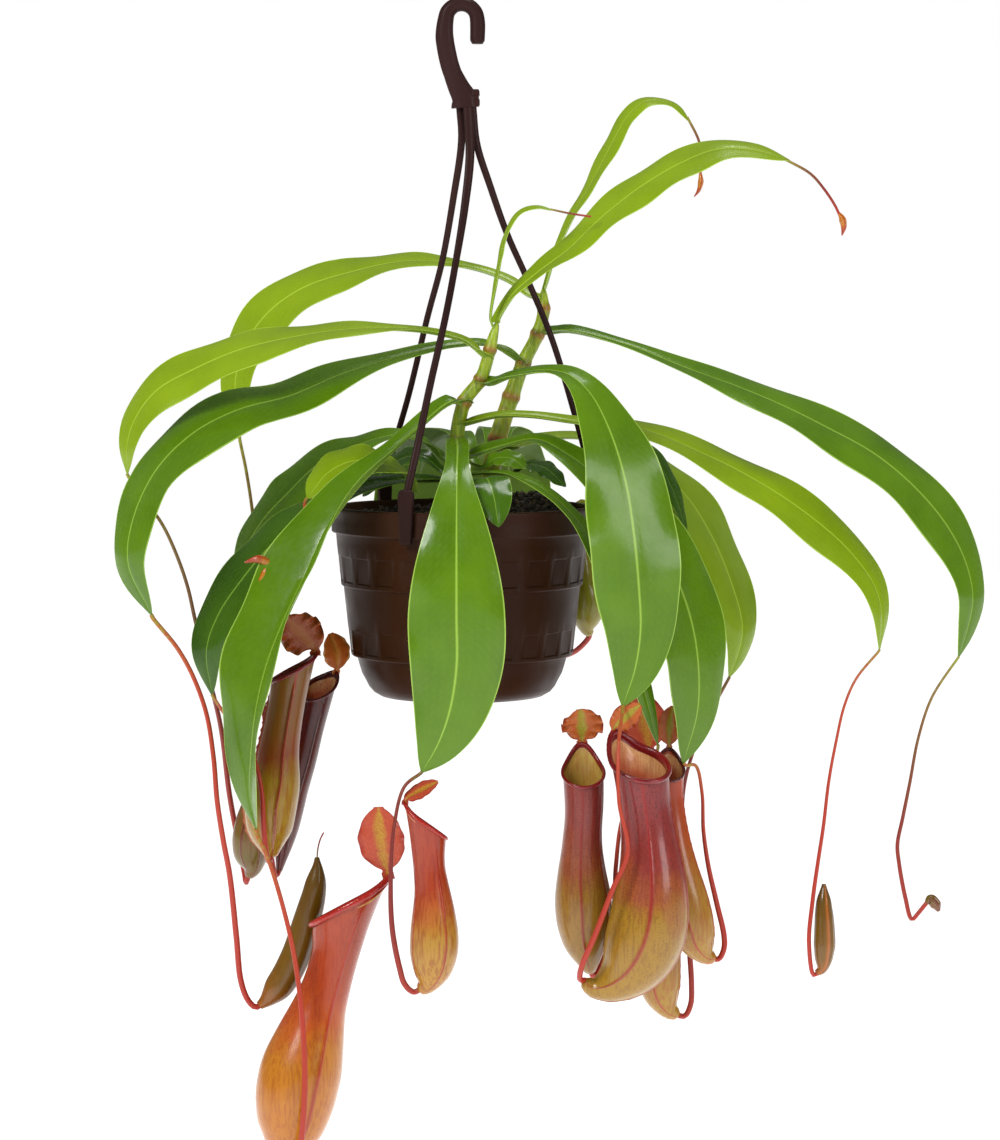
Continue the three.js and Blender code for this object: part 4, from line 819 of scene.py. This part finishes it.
# Each starts at the tip of the leaf of its name and runs a little way into the foot of its pitcher. Its
# girth is its radius at either end, and 1 to 1.7 mm where none is given.
tendrils = {
    "tendril_left_top": dict(bark="tan", points=[(-137, 52, -254.5), (-133, 50, -274), (-129, 46, -299),
        (-126, 38, -329), (-124, 26, -364), (-121, 8, -405), (-117, -12, -430), (-114, -27, -467),
        (-114, -28, -493), (-112.5, -24, -509), (-111, -20, -514), (-109.5, -18.5, -510.5)]),
    "tendril_left_middle": dict(bark="tan", points=[(-195, -40, -274), (-185, -43, -288), (-176, -44, -300),
        (-169, -38, -316), (-162, -32, -338), (-158, -26, -359), (-152, -18, -389), (-145, -4, -426),
        (-141, 10, -470), (-136, 14, -500), (-132, 7, -517), (-130.5, -0.3, -521), (-129, -2, -516.5)]),
    "tendril_left_large": dict(bark="red", girth=(1.3, 1.8), points=[(-178, -73, -354), (-164, -75, -371),
        (-155, -76, -387), (-147, -78, -409), (-143, -79, -434), (-141, -79, -460), (-138, -74, -484),
        (-135, -66, -506), (-132, -58, -544), (-130, -52, -571), (-126, -49.5, -583),
        (-121.6, -48.4, -587.4), (-118.8, -47.9, -586)]),
    "tendril_left_short": dict(bark="red", points=[(-91, -50, -288), (-91, -58, -297), (-96, -65, -310),
        (-104, -66, -319)]),
    "tendril_left_low": dict(bark="red", points=[(-146, -42, -403.5), (-139, -47, -413), (-128, -56, -424),
        (-120, -65, -439), (-116, -69, -455), (-115, -70, -473), (-114, -66, -490), (-112.5, -57, -499),
        (-112, -52.5, -496)]),
    "tendril_front_left": dict(bark="red", girth=(1.3, 1.8), points=[(-119, -74, -479), (-112, -78, -493),
        (-99, -88, -535), (-93, -94, -568), (-90, -97, -609), (-91, -96, -643), (-94, -90, -666),
        (-98.6, -81.4, -677), (-101, -76.5, -673)]),
    "tendril_front": dict(bark="maroon", points=[(-23, -92, -442), (-32, -95, -449), (-38, -98, -472),
        (-40, -99, -506), (-39, -99, -532), (-35, -98, -554), (-32, -96, -564), (-27, -95, -568.6),
        (-22.5, -95, -566.5)]),
    "tendril_front_right": dict(bark="red", points=[(94, -75, -406), (91, -93, -424), (91, -101, -457),
        (96, -103, -485), (87, -104, -508), (77, -102, -535), (70, -96, -553), (69.4, -87, -563),
        (72.5, -84.2, -564)]),
    "tendril_right_low": dict(bark="red", points=[(132, -46, -443.5), (138, -43, -444), (142, -42, -460),
        (143, -42, -483), (146, -42, -504), (151, -41, -526), (155.6, -40, -546), (155.6, -40, -554),
        (152.6, -40, -560), (148.5, -40, -560)]),
    "tendril_right_behind": dict(bark="maroon", points=[(161.5, 16, -399), (154, 12, -412), (142, 4, -435),
        (133, -8, -464), (133, -14, -499), (136, -14, -529), (136.5, -14, -556), (138, -14, -581),
        (137.5, -14, -593), (134, -14, -600), (129.5, -14, -599.5)]),
    "tendril_right_middle": dict(bark="red", girth=(0.8, 1.3), points=[(246, -36, -377.5), (233, -38, -393),
        (226, -39, -409), (221, -40, -431), (217, -40, -454), (214, -40, -481), (211, -40, -502),
        (208, -40, -525), (206, -40, -550), (209.2, -37.6, -570.4), (212, -36.3, -568.8)]),
    "tendril_right_large": dict(bark="tan", girth=(0.8, 1.3), points=[(294, -27, -382.5), (279, -29, -405),
        (271, -30, -429), (266, -31, -456), (262, -31, -477), (259, -31, -493), (260, -31, -504),
        (264, -31, -525), (268, -31, -538), (272, -31, -534), (276, -31, -529), (277.5, -31, -527.5)]),
    "tendril_back": dict(bark="red", points=[(34.5, 102, -365.5), (42, 92, -382), (54, 78, -392),
        (68, 62, -388), (77.5, 51.5, -377.5), (78, 50, -374.5)]),
    "tendril_inner": dict(leaf="leaf_crown_long", bark="red", points=[(116, -41, -434), (110, -48, -447),
        (100, -55, -461), (94, -59, -475), (91, -52, -502), (90, -37, -533), (84, -42, -556),
        (77.6, -52.6, -567.6), (75.5, -55.2, -562)]),
}
for name, tendril in tendrils.items():
    leaf = leaves[tendril.get("leaf", name.replace("tendril", "leaf"))]
    piece = swept_stalk(name, [leaf["points"][-1]] + tendril["points"], tendril.get("girth", (1.0, 1.7)),
                        tendril["bark"], 110)
    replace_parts(piece, name)

# The three leaves at the top end in short tendrils whose pitchers are still buds, and the closed pitcher
# on the left ends in a thread.
short_stalks = {
    "tendril_top": (0.8, [(189, -33.7, -88.4), (204, -35, -97), (212, -36, -106), (218, -37, -115),
                          (221, -37, -121)]),
    "tendril_top_narrow": (0.8, [(136, 38, -60), (143, 38, -74), (145, 38, -85), (144, 38, -95)]),
    "tendril_top_small": (0.6, [(52, -36, -117.6), (63, -37, -120), (76, -38, -122)]),
    "filament_closed_left": (0.45, [(-85, -49, -500), (-84.5, -49, -493), (-83, -49, -487),
                                    (-81, -49, -483)]),
}
for name, (radius, points) in short_stalks.items():
    swept_stalk(name, points, (radius, radius), "tan", 40)


# ---- Pitchers: leathery jugs that fill with fluid, each with a bent foot, a belly, a waist, a slanted mouth
# with a hard glossy ribbed lip rolled outwards, two fringed wings down its front, and a lid on a short neck
# behind the mouth. The wall is veined and flecked with red over green or ochre.
def pitcher_skin(name, bands, vein, veined, flecked, keel, polish=0.28):
    """Pitcher wall: colour by height, fine upright veins and flecks, and two red keels down the front."""
    wall, spot = new_material(name)
    place = surface_place(wall)
    front = add_node(wall, "Attribute", attribute_name="front").outputs["Fac"]
    # The red of the neck runs further down between the keels than round the sides.
    cloud = add_node(wall, "TexNoise", {"Vector": spot, "Scale": 55.0, "Detail": 3.0})
    drift = add_node(wall, "Math", {0: cloud, 1: 0.26, 2: -0.13}, operation="MULTIPLY_ADD")
    blush = add_node(wall, "Math", {0: front, 1: 0.1, 2: drift}, operation="MULTIPLY_ADD")
    height = add_node(wall, "Math", {0: place["Y"], 1: blush}, use_clamp=True)
    tint = add_node(wall, "ValToRGB", {"Fac": height}, bands)
    # Veins run up the wall about 1 mm apart and wander a little.
    upright = add_node(wall, "Mapping", {"Vector": spot, "Scale": (1.0, 1.0, 0.1)})
    strand = add_node(wall, "TexNoise", {
        "Vector": upright, "Scale": 700.0, "Detail": 3.0, "Distortion": 0.5})
    on_vein = add_node(wall, "MapRange", {
        "Value": strand, "From Min": 0.45, "From Max": 0.62, "To Max": veined,
    }, interpolation_type="SMOOTHSTEP")
    veined_tint = add_node(wall, "Mix", {0: on_vein, 6: tint, 7: srgb(vein)}, data_type="RGBA")
    # Flecks are under a millimetre across and crowd towards the neck.
    speck = add_node(wall, "TexNoise", {"Vector": spot, "Scale": 1100.0, "Detail": 2.0})
    crowd = add_node(wall, "Math", {0: place["Y"], 1: flecked}, operation="MULTIPLY")
    on_speck = add_node(wall, "MapRange", {
        "Value": speck, "From Min": 0.52, "From Max": 0.66, "To Max": crowd,
    }, interpolation_type="SMOOTHSTEP")
    flecked_tint = add_node(wall, "Mix", {0: on_speck, 6: veined_tint, 7: srgb(vein)}, data_type="RGBA")
    on_keel = add_node(wall, "Attribute", attribute_name="keel").outputs["Fac"]
    keeled = add_node(wall, "Mix", {0: on_keel, 6: flecked_tint, 7: srgb(keel)}, data_type="RGBA")
    shine = add_node(wall, "MapRange", {
        "Value": cloud, "From Min": 0.35, "From Max": 0.7, "To Min": polish, "To Max": polish + 0.12})
    relief = add_node(wall, "Bump", {"Height": strand, "Strength": 0.3, "Distance": 0.0004})
    return finish(wall, {
        "Base Color": keeled, "Roughness": shine, "Normal": relief, "IOR": 1.45, "Specular IOR Level": 0.3,
        "Coat Weight": 0.5, "Coat Roughness": 0.14})


def lip_skin(name, dark, light):
    """Lip: hard, smooth and glossy, faintly striped along its fine ribs."""
    lip, spot = new_material(name)
    # There are 90 stripes round the mouth, under a millimetre apart.
    stripes = 90
    around = add_node(lip, "Math", {0: surface_place(lip)["X"], 1: 2 * math.pi * stripes},
                      operation="MULTIPLY")
    rib = add_node(lip, "Math", {0: around}, operation="COSINE")
    cloud = add_node(lip, "TexNoise", {"Vector": spot, "Scale": 90.0, "Detail": 3.0})
    level = add_node(lip, "Math", {0: rib, 1: 0.1, 2: cloud}, operation="MULTIPLY_ADD")
    tint = add_node(lip, "ValToRGB", {"Fac": level}, [(0.3, dark), (0.75, light)])
    relief = add_node(lip, "Bump", {"Height": rib, "Strength": 0.1, "Distance": 0.0003})
    return finish(lip, {
        "Base Color": tint, "Normal": relief, "Roughness": 0.22, "Specular IOR Level": 0.35,
        "Coat Weight": 0.3, "Coat Roughness": 0.1})


def lid_skin(name, middle, blade, edge, vein):
    """Lid: its colour changes from the midline out to the edge, under a net of darker veins."""
    lid, spot = new_material(name)
    cloud = add_node(lid, "TexNoise", {"Vector": spot, "Scale": 140.0, "Detail": 3.0})
    wander = add_node(lid, "Math", {0: cloud, 1: 0.24, 2: -0.12}, operation="MULTIPLY_ADD")
    level = add_node(lid, "Math", {0: off_midline(lid, surface_place(lid)), 1: wander}, use_clamp=True)
    tint = add_node(lid, "ValToRGB", {"Fac": level},
                    [(0.0, middle), (0.05, middle), (0.17, blade), (0.4, blade), (0.5, edge)])
    # The net's meshes are about 2 mm across.
    net = add_node(lid, "TexVoronoi", {"Vector": spot, "Scale": 480.0}, feature="DISTANCE_TO_EDGE")
    on_net = add_node(lid, "MapRange", {
        "Value": net, "From Min": 0.0, "From Max": 0.16, "To Min": 0.4, "To Max": 0.0,
    }, interpolation_type="SMOOTHSTEP")
    netted = add_node(lid, "Mix", {0: on_net, 6: tint, 7: srgb(vein)}, data_type="RGBA")
    relief = add_node(lid, "Bump", {"Height": net, "Strength": 0.2, "Distance": 0.0003})
    return finish(lid, {
        "Base Color": netted, "Normal": relief, "Roughness": 0.36, "Specular IOR Level": 0.3})


# Inside, the waxy wall is pale and runs from olive-yellow or orange at the mouth to dark red below.
insides = {
    "pale": pitcher_skin("pale_waxy_pitcher_inside", [(0.0, "#5A1E16"), (0.5, "#8E4A1E"), (0.8, "#A8842E"),
        (1.0, "#B89A48")], "#A03A26", 0.3, 0.2, "#A8602A", 0.45),
    "orange": pitcher_skin("orange_waxy_pitcher_inside", [(0.0, "#4A1510"), (0.6, "#A8421F"),
        (0.9, "#C0603A"), (1.0, "#CC9A62")], "#8E2A1C", 0.3, 0.2, "#A83A24", 0.45),
}
# Outside, each has its colours from the foot to the neck, its vein colour and how much that shows in the
# veins and flecks, and the colour of its keels.
walls = {
    "coral": pitcher_skin("coral_pitcher_wall", [(0.0, "#A8501C"), (0.08, "#AC6818"), (0.53, "#AE6C16"),
        (0.64, "#A84C16"), (0.78, "#983810"), (1.0, "#963410")], "#781408", 0.3, 0.15, "#96240E", 0.22),
    "ochre": pitcher_skin("ochre_pitcher_wall", [(0.0, "#A0521C"), (0.1, "#A57624"), (0.42, "#A07624"),
        (0.6, "#A05022"), (0.76, "#943412"), (1.0, "#902E10")], "#781408", 0.45, 0.25, "#8E2010"),
    "gold": pitcher_skin("gold_pitcher_wall", [(0.0, "#A0601C"), (0.1, "#967418"), (0.5, "#907016"),
        (0.64, "#7A3C14"), (0.8, "#744A16"), (1.0, "#6E4A18")], "#7A2E12", 0.35, 0.2, "#982A1C"),
    "green": pitcher_skin("green_pitcher_wall", [(0.0, "#8A7A20"), (0.3, "#7A7A1A"), (1.0, "#7A6A1C")],
        "#7A4A16", 0.3, 0.2, "#8A3A1C"),
    "maroon": pitcher_skin("maroon_pitcher_wall", [(0.0, "#6E3018"), (0.2, "#5A1C14"), (1.0, "#4A120E")],
        "#2A0C0C", 0.5, 0.2, "#3A0C0C"),
    "khaki": pitcher_skin("khaki_pitcher_wall", [(0.0, "#7A4A1E"), (0.2, "#5E5014"), (0.6, "#6A4A18"),
        (1.0, "#6A3A18")], "#5E1A12", 0.4, 0.25, "#5E1A14"),
    "rose": pitcher_skin("rose_pitcher_wall", [(0.0, "#9A5420"), (0.12, "#86641A"), (0.5, "#86601C"),
        (0.66, "#844422"), (0.84, "#7C3024"), (1.0, "#7A2C24")], "#4E1012", 0.25, 0.7, "#7A1612"),
    "plum": pitcher_skin("plum_pitcher_wall", [(0.0, "#A2501C"), (0.08, "#94701A"), (0.5, "#926C1A"),
        (0.62, "#904A20"), (0.74, "#802A22"), (1.0, "#782422")], "#4E1212", 0.24, 0.85, "#861A16"),
    "olive": pitcher_skin("olive_pitcher_wall", [(0.0, "#8A5014"), (0.25, "#6A4A08"), (1.0, "#543C06")],
        "#5E3008", 0.25, 0.15, "#9E561A"),
    "pink": pitcher_skin("orange_pitcher_wall", [(0.0, "#A85220"), (0.12, "#9A7622"), (0.5, "#9A6C22"),
        (0.75, "#A04A1A"), (1.0, "#9A3816")], "#8A2A18", 0.35, 0.2, "#96201A"),
}
lips = {
    "crimson": lip_skin("glossy_crimson_lip", "#5A0C10", "#82161A"),
    "red": lip_skin("glossy_red_lip", "#86140F", "#A8261A"),
    "maroon": lip_skin("glossy_maroon_lip", "#2E080C", "#5E1014"),
}
lids = {
    "coral": lid_skin("coral_lid", "#B0812A", "#B04A30", "#962E22", "#94281E"),
    "orange": lid_skin("orange_lid", "#8E8A26", "#A85620", "#8E3416", "#9A3A1A"),
    "rust": lid_skin("withered_rusty_lid", "#8A4A1C", "#7E3014", "#9A5020", "#94602E"),
    "amber": lid_skin("amber_lid", "#B0702A", "#A8541A", "#C89858", "#9A4A1A"),
    "green": lid_skin("yellow_green_lid", "#8E9A2A", "#989430", "#9A3A1E", "#9A6A2A"),
}


def smoothed(values, t, spread=0.035):
    """A list spread evenly along a piece, read at each t and rounded off at its corners."""
    fine = np.linspace(-0.2, 1.2, 561)
    held = along(values, np.clip(fine, 0, 1))
    reach = 60
    kernel = np.exp(-0.5 * (np.arange(-reach, reach + 1) * 0.0025 / spread) ** 2)
    held = np.convolve(np.pad(held, reach, mode="edge"), kernel / kernel.sum(), mode="valid")
    return np.interp(t, fine, held)


def lid_share(t):
    """A lid is an oval on a short neck."""
    s = np.clip((t - 0.14) / 0.86, 0, 1)
    return np.where(t < 0.1, 0.26, np.maximum(0.2, np.sin(math.pi * s ** 0.9) ** 0.55))


def angle_from(turn, degrees):
    """How far each angle of a turn is from this one, in radians either way."""
    return (turn - math.radians(degrees) + math.pi) % (2 * math.pi) - math.pi


LIP_RIBS = 48
INNER_WALL = 1.0
# Out from the rim and up from it, in lip widths: the lip rolls out, over and back down inside.
lip_roll = [(0.2, -0.5), (0.75, -0.62), (1.0, -0.25), (1.0, 0.3), (0.8, 0.75), (0.4, 0.98), (0.0, 0.9),
            (-0.35, 0.55), (-0.55, 0.0), (-0.6, -0.7), (-0.55, -1.5)]
pitcher_turn = round_turn(LIP_RIBS * 3)


def open_pitcher(name, points, radii, mouth, lid, keels, wall, peak=0.0, lip=1.0, wing=0.5, inside="pale",
                 lip_tone="crimson", lid_tone="orange"):
    """Makes the jug with its lip and inner wall, and its lid, and lets them stand for the plain node."""
    rows = 64
    opening = np.array(mouth, float) / np.linalg.norm(mouth)
    t, places, on, across, up = frames_along(points, [(0, -1, 0.1)], rows)
    radius = smoothed(radii, t)
    # The foot closes in a round end where the tendril runs into it.
    radius = np.minimum(radius, 1.4 + np.sqrt(np.maximum(t, 0) * 60.0) * radius.max() * 0.28)
    s = np.clip((t - 0.6) / 0.4, 0, 1)
    slant = (s * s * (3 - 2 * s))[:, None]
    normal = on * (1 - slant) + opening * slant
    normal /= np.linalg.norm(normal, axis=1)[:, None]
    # The rim rises to a point where the lid's neck leaves it.
    to_hinge = np.maximum(0, np.cos(pitcher_turn - math.radians(lid["hinge"]))) ** 4

    def ring(k, r, lift=0.0):
        spoke = across[k] * (r * np.cos(pitcher_turn))[:, None] + up[k] * (r * np.sin(pitcher_turn))[:, None]
        slide = to_hinge * peak * slant[k] - (spoke @ normal[k]) / max(0.35, float(normal[k] @ on[k]))
        return places[k] + spoke + slide[:, None] * on[k] + np.outer(np.broadcast_to(lift, r.shape), opening)

    # Two wings run down the front, each a thin ridge whose edge is fringed with short teeth.
    ridge = sum(np.exp(-(angle_from(pitcher_turn, keel) / 0.05) ** 2) for keel in keels)
    stand = wing * np.clip(t / 0.12, 0, 1) * np.clip((0.97 - t) / 0.12, 0, 1)
    stand *= 0.8 + 0.35 * (np.arange(rows) % 3 == 0)
    outer = [ring(k, radius[k] + stand[k] * ridge) for k in range(rows)]
    # The lip's ribs stand a few hundredths of its width proud.
    ribbed = 1.0 + 0.04 * np.cos(LIP_RIBS * pitcher_turn)
    rim = radius[-1]
    rolled = [ring(rows - 1, rim + lip * (out * ribbed - 0.1), lip * lift) for out, lift in lip_roll]
    within = range(rows - 4, 8, -2)
    inner = [ring(k, np.full(len(pitcher_turn), max(radius[k] - INNER_WALL, 0.6))) for k in within]
    slots = [[0]] * (rows - 1) + [[1]] * len(rolled) + [[2]] * len(inner)
    body = skin(name, outer + rolled + inner, slots, [walls[wall], lips[lip_tone], insides[inside]],
                sharp=80.0, rise=list(t) + [1.0] * len(rolled) + [t[k] for k in within])
    # The wall's shader reads where the keels are and how near the front each place is.
    facing = np.clip(0.5 + 0.8 * np.cos(pitcher_turn - math.radians(sum(keels) / 2)), 0, 1)
    for label, level in (("keel", np.clip(ridge, 0, 1)), ("front", facing)):
        note(body, label, np.tile(level, len(outer + rolled + inner)))
    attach(body, "root")
    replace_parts(body, name)
    # The lid's neck leaves the rim at the back, and its blade is veined with a ridge down the middle.
    a = math.radians(lid["hinge"])
    spoke = across[-1] * rim * math.cos(a) + up[-1] * rim * math.sin(a)
    hinge = places[-1] + spoke + on[-1] * (peak - (opening @ spoke) / max(0.35, float(opening @ on[-1])))
    path = [tuple(np.array(step) + hinge) for step in [(0, 0, -1)] + lid["reach"]]
    rings = blade_rings(path, [lid["faces"]], lid["wide"], fold=(0.1, 0.1), share=lid_share, keel=0.7,
                        wave=lid.get("wave", 0.06), rows=44)
    cap = sheet(name + "_lid", rings, [lids[lid_tone]] * 2)
    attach(cap, "root")


# `points` run from the foot to the middle of the mouth, `mouth` is the way the opening looks, and the
# lid's `hinge` and the `keels` are places round the rim, in degrees from the right towards the front.
open_pitchers = {
    "pitcher_front_left": dict(
        points=[(-100, -78.5, -675.5), (-102, -73, -668), (-100, -70, -655), (-96, -68, -630),
                (-88, -66, -600), (-79, -66, -571), (-71, -66, -544), (-65, -66, -523)],
        radii=[1.8, 19, 24, 24.5, 20, 15, 13.5, 14, 18], mouth=(-0.46, 0.12, 0.87), peak=5,
        lid=dict(hinge=0, reach=[(-1, -1, 4), (-4, -3, 19), (-6, -3, 42)], faces=(-0.35, -1, 0.1), wide=29),
        lip=2.2, wing=0.6, keels=(62, 205), wall="coral", lip_tone="red", lid_tone="coral"),
    "pitcher_front": dict(
        points=[(-24.6, -95, -567.6), (-20.5, -95, -565), (-16.8, -95, -556), (-15.2, -95, -543),
                (-15.2, -95, -528), (-16, -95, -512), (-18, -95, -494), (-20, -95, -471)],
        radii=[2, 11, 14.2, 14, 12.2, 10, 9, 9.5, 11], mouth=(0.56, 0.1, 0.8), peak=4,
        lid=dict(hinge=180, reach=[(1, 0, 3), (9, -1, 8), (19, -2, 13)],
                 faces=(0.2, -0.5, 1), wide=15, wave=0.03),
        lip=1.2, keels=(60, 150), wall="ochre", inside="orange", lip_tone="red", lid_tone="coral"),
    "pitcher_left_front": dict(
        points=[(-112, -53.5, -497.5), (-112, -52, -493.5), (-112.5, -50.5, -484), (-112, -50, -468),
                (-109, -50, -452), (-107, -50, -435), (-103, -50, -411), (-98.4, -50, -387)],
        radii=[2, 13, 15.3, 15, 12.8, 11.2, 10.6, 10.6, 11.5], mouth=(-0.45, -0.05, 0.88), peak=3,
        lid=dict(hinge=350, reach=[(-1, -2, 4), (-8, -4, 12), (-17, -7, 22)],
                 faces=(-0.3, -1, 0.4), wide=26, wave=0.34),
        lip=1.3, wing=2.0, keels=(75, 190), wall="gold", lid_tone="rust"),
    "pitcher_left_dark": dict(
        points=[(-109.5, -18.5, -511.8), (-108, -18, -503), (-106, -18, -491), (-102, -18, -465),
                (-95, -18, -441), (-89, -18, -417), (-85, -18, -401)],
        radii=[1.4, 5, 8, 9.5, 9.5, 9, 8.5, 9, 9.5], mouth=(-0.2, -0.5, 0.84), peak=3,
        lid=dict(hinge=320, reach=[(1, -1, 4), (1, -3, 12), (-3, -4, 24)], faces=(0.5, -0.8, 0.3), wide=19),
        lip=1.1, wing=0.6, keels=(60, 120), wall="maroon", inside="orange", lip_tone="maroon",
        lid_tone="amber"),
    "pitcher_left_behind": dict(
        points=[(-129.5, -2, -518), (-127, -2, -513), (-127, -2, -501), (-124, -2, -486), (-120, -1, -468),
                (-116, 0, -451), (-113, 0, -438)],
        radii=[1.5, 10, 13, 13, 11, 9, 8, 8], mouth=(0.1, -0.5, 0.86),
        lid=dict(hinge=270, reach=[(0, 0, 4), (1, -2, 12), (1, -4, 20)], faces=(0.1, -1, 0.2), wide=14),
        lip=1.1, keels=(60, 120), wall="khaki"),
    "pitcher_right_front": dict(
        points=[(76, -54.4, -566), (75, -56, -559), (73, -56, -546), (72, -56, -528), (71, -57, -508),
                (71, -59, -487), (72, -60, -466), (71.5, -60, -446)],
        radii=[1.8, 12, 16.5, 17, 14.5, 12, 11, 11.5, 12], mouth=(0, -0.5, 0.87), peak=9,
        lid=dict(hinge=270, reach=[(0, -2, 4), (0, -6, 12), (-1, -9, 21)],
                 faces=(0, -1, 0.3), wide=25, wave=0.22),
        lip=1.3, keels=(35, 95), wall="rose"),
    "pitcher_right_big": dict(
        points=[(71, -84.6, -563.6), (76, -83, -568), (84, -82, -567.5), (93, -81, -562), (101, -80.5, -552),
                (107.5, -80, -537), (110.5, -80, -517), (110.5, -80, -499), (108.8, -80, -479),
                (106, -80, -458), (103.5, -80, -438)],
        radii=[2, 9.8, 18.4, 22.8, 23.3, 21.5, 18.9, 16.3, 15.1, 15.2, 16.5],
        mouth=(0.12, -0.42, 0.9), peak=10,
        lid=dict(hinge=222, reach=[(0, -1, 3), (6, -3, 9), (15, -5, 17)],
                 faces=(0.4, -0.9, 0.5), wide=15, wave=0.16),
        lip=1.9, wing=0.7, keels=(15, 92), wall="plum", inside="orange"),
    "pitcher_right_behind": dict(
        points=[(151, -40, -559.7), (146, -40.5, -558.5), (140.5, -41, -551), (137, -42, -540),
                (133.5, -42, -525), (129, -42, -505), (125.5, -41, -484), (123, -40, -461),
                (123, -40, -446)],
        radii=[2, 11.2, 13.5, 12.8, 11, 9.3, 8.3, 8, 8.5], mouth=(0.1, -0.6, 0.8), peak=4,
        lid=dict(hinge=270, reach=[(0, -1, 4), (0, -3, 13), (2, -4, 26)], faces=(0.1, -1, 0), wide=15),
        keels=(20, 100), wall="pink", inside="orange", lip_tone="maroon"),
    "pitcher_right_low": dict(
        points=[(131, -14, -599.5), (125.5, -14, -597), (120.5, -14, -588), (118.5, -14, -575),
                (118, -14, -554), (118, -14, -529), (116, -14, -505), (114, -14, -475), (113, -14, -454)],
        radii=[2, 12.3, 13.6, 13, 11.5, 9, 8, 8, 8.5], mouth=(0, -0.6, 0.8), peak=5,
        lid=dict(hinge=270, reach=[(0, -1, 5), (-3, -5, 18), (-7, -8, 38)], faces=(-0.1, -1, 0), wide=28),
        wing=0.6, keels=(20, 110), wall="pink", lid_tone="coral"),
    "pitcher_back": dict(
        points=[(79, 50, -376), (77, 50, -373), (76, 50, -364), (74, 50, -348), (73, 51, -332),
                (72, 52, -318)],
        radii=[1.5, 9, 12, 12, 9.5, 8, 8], mouth=(0.1, 0.5, 0.86), peak=3,
        lid=dict(hinge=90, reach=[(0, 0, 4), (1, 3, 10), (2, 6, 18)], faces=(0, 1, 0.3), wide=14),
        keels=(240, 300), wall="green", lid_tone="green"),
}
for name, jug in open_pitchers.items():
    open_pitcher(name, **jug)


# ---- Pitchers not yet open: slim pods, pointed at the tip, with the future front ridge already showing.
# The newest are buds a few millimetres long at the ends of the top leaves' tendrils.
pod_turn = round_turn(64)


def pod(name, points, radii, ridge, wall):
    """A closed pitcher along the points, with three low ridges round `ridge` degrees."""
    t, places, _, across, up = frames_along(points, [(0.3, -1, 0.2)], 60)
    apart = angle_from(pod_turn, ridge)
    relief = 0.12 * np.exp(-(apart / 0.1) ** 2) + 0.08 * np.exp(-((abs(apart) - 0.5) / 0.1) ** 2)
    r = smoothed(radii, t, 0.03)[:, None] * (1 + relief * np.sin(math.pi * t)[:, None])
    rings = rings_about(places, across, up, r * np.cos(pod_turn), r * np.sin(pod_turn))
    piece = skin(name, rings, 0, [walls[wall]])
    note(piece, "keel", np.tile(np.exp(-(apart / 0.16) ** 2), len(rings)))
    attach(piece, "root")
    return piece


closed_pitchers = {
    "pitcher_closed_left": dict(
        points=[(-119.6, -48, -586.6), (-115, -47, -583), (-106, -46, -572), (-98, -46, -556),
                (-92, -46, -537), (-87, -47, -519), (-85, -48, -505), (-85, -49, -498)],
        radii=[2, 8.4, 8.6, 8.4, 8, 7.4, 6.2, 1.0], ridge=0.0, wall="olive"),
    "pitcher_closed_right": dict(
        points=[(211, -36.4, -569.4), (214, -36, -567), (215.5, -36, -556), (215.5, -36, -541),
                (215, -36, -529), (215, -36, -516)],
        radii=[1.6, 5.2, 6.6, 6.2, 5.6, 4.4, 1], ridge=90.0, wall="olive"),
    "pitcher_bud_right": dict(
        points=[(276.4, -31, -528.4), (279, -31, -526), (282, -31, -529), (284, -31, -533)],
        radii=[1.2, 3.2, 3.4, 1], ridge=90.0, wall="khaki"),
}
for name, one in closed_pitchers.items():
    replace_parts(pod(name, **one), name)

# The bud in the middle of the left side has withered to a twist and a flap of dry orange skin.
buds = {
    "bud_top": ([(220.6, -37, -120), (222.5, -37, -123), (223.5, -37, -128), (222.5, -37, -133)],
                [0.9, 2.2, 1.6, 0.3], 90.0),
    "bud_top_narrow": ([(144.2, 38, -94), (144.4, 38, -99), (143.2, 38, -104), (140.5, 38, -108)],
                       [0.9, 1.8, 1.2, 0.3], 90.0),
    "withered_bud_left": ([(-103, -66, -318), (-110, -68, -322), (-117, -69, -320), (-125, -69, -322)],
                          [0.9, 2.2, 2.4, 0.5], 60.0),
    "withered_flap_left": ([(-110, -68, -321), (-113, -69, -328), (-116, -69, -335), (-115, -69, -344)],
                           [0.9, 2.4, 1.5, 0.3], 20.0),
}
for name, (points, radii, ridge) in buds.items():
    pod(name, points, radii, ridge, "coral")
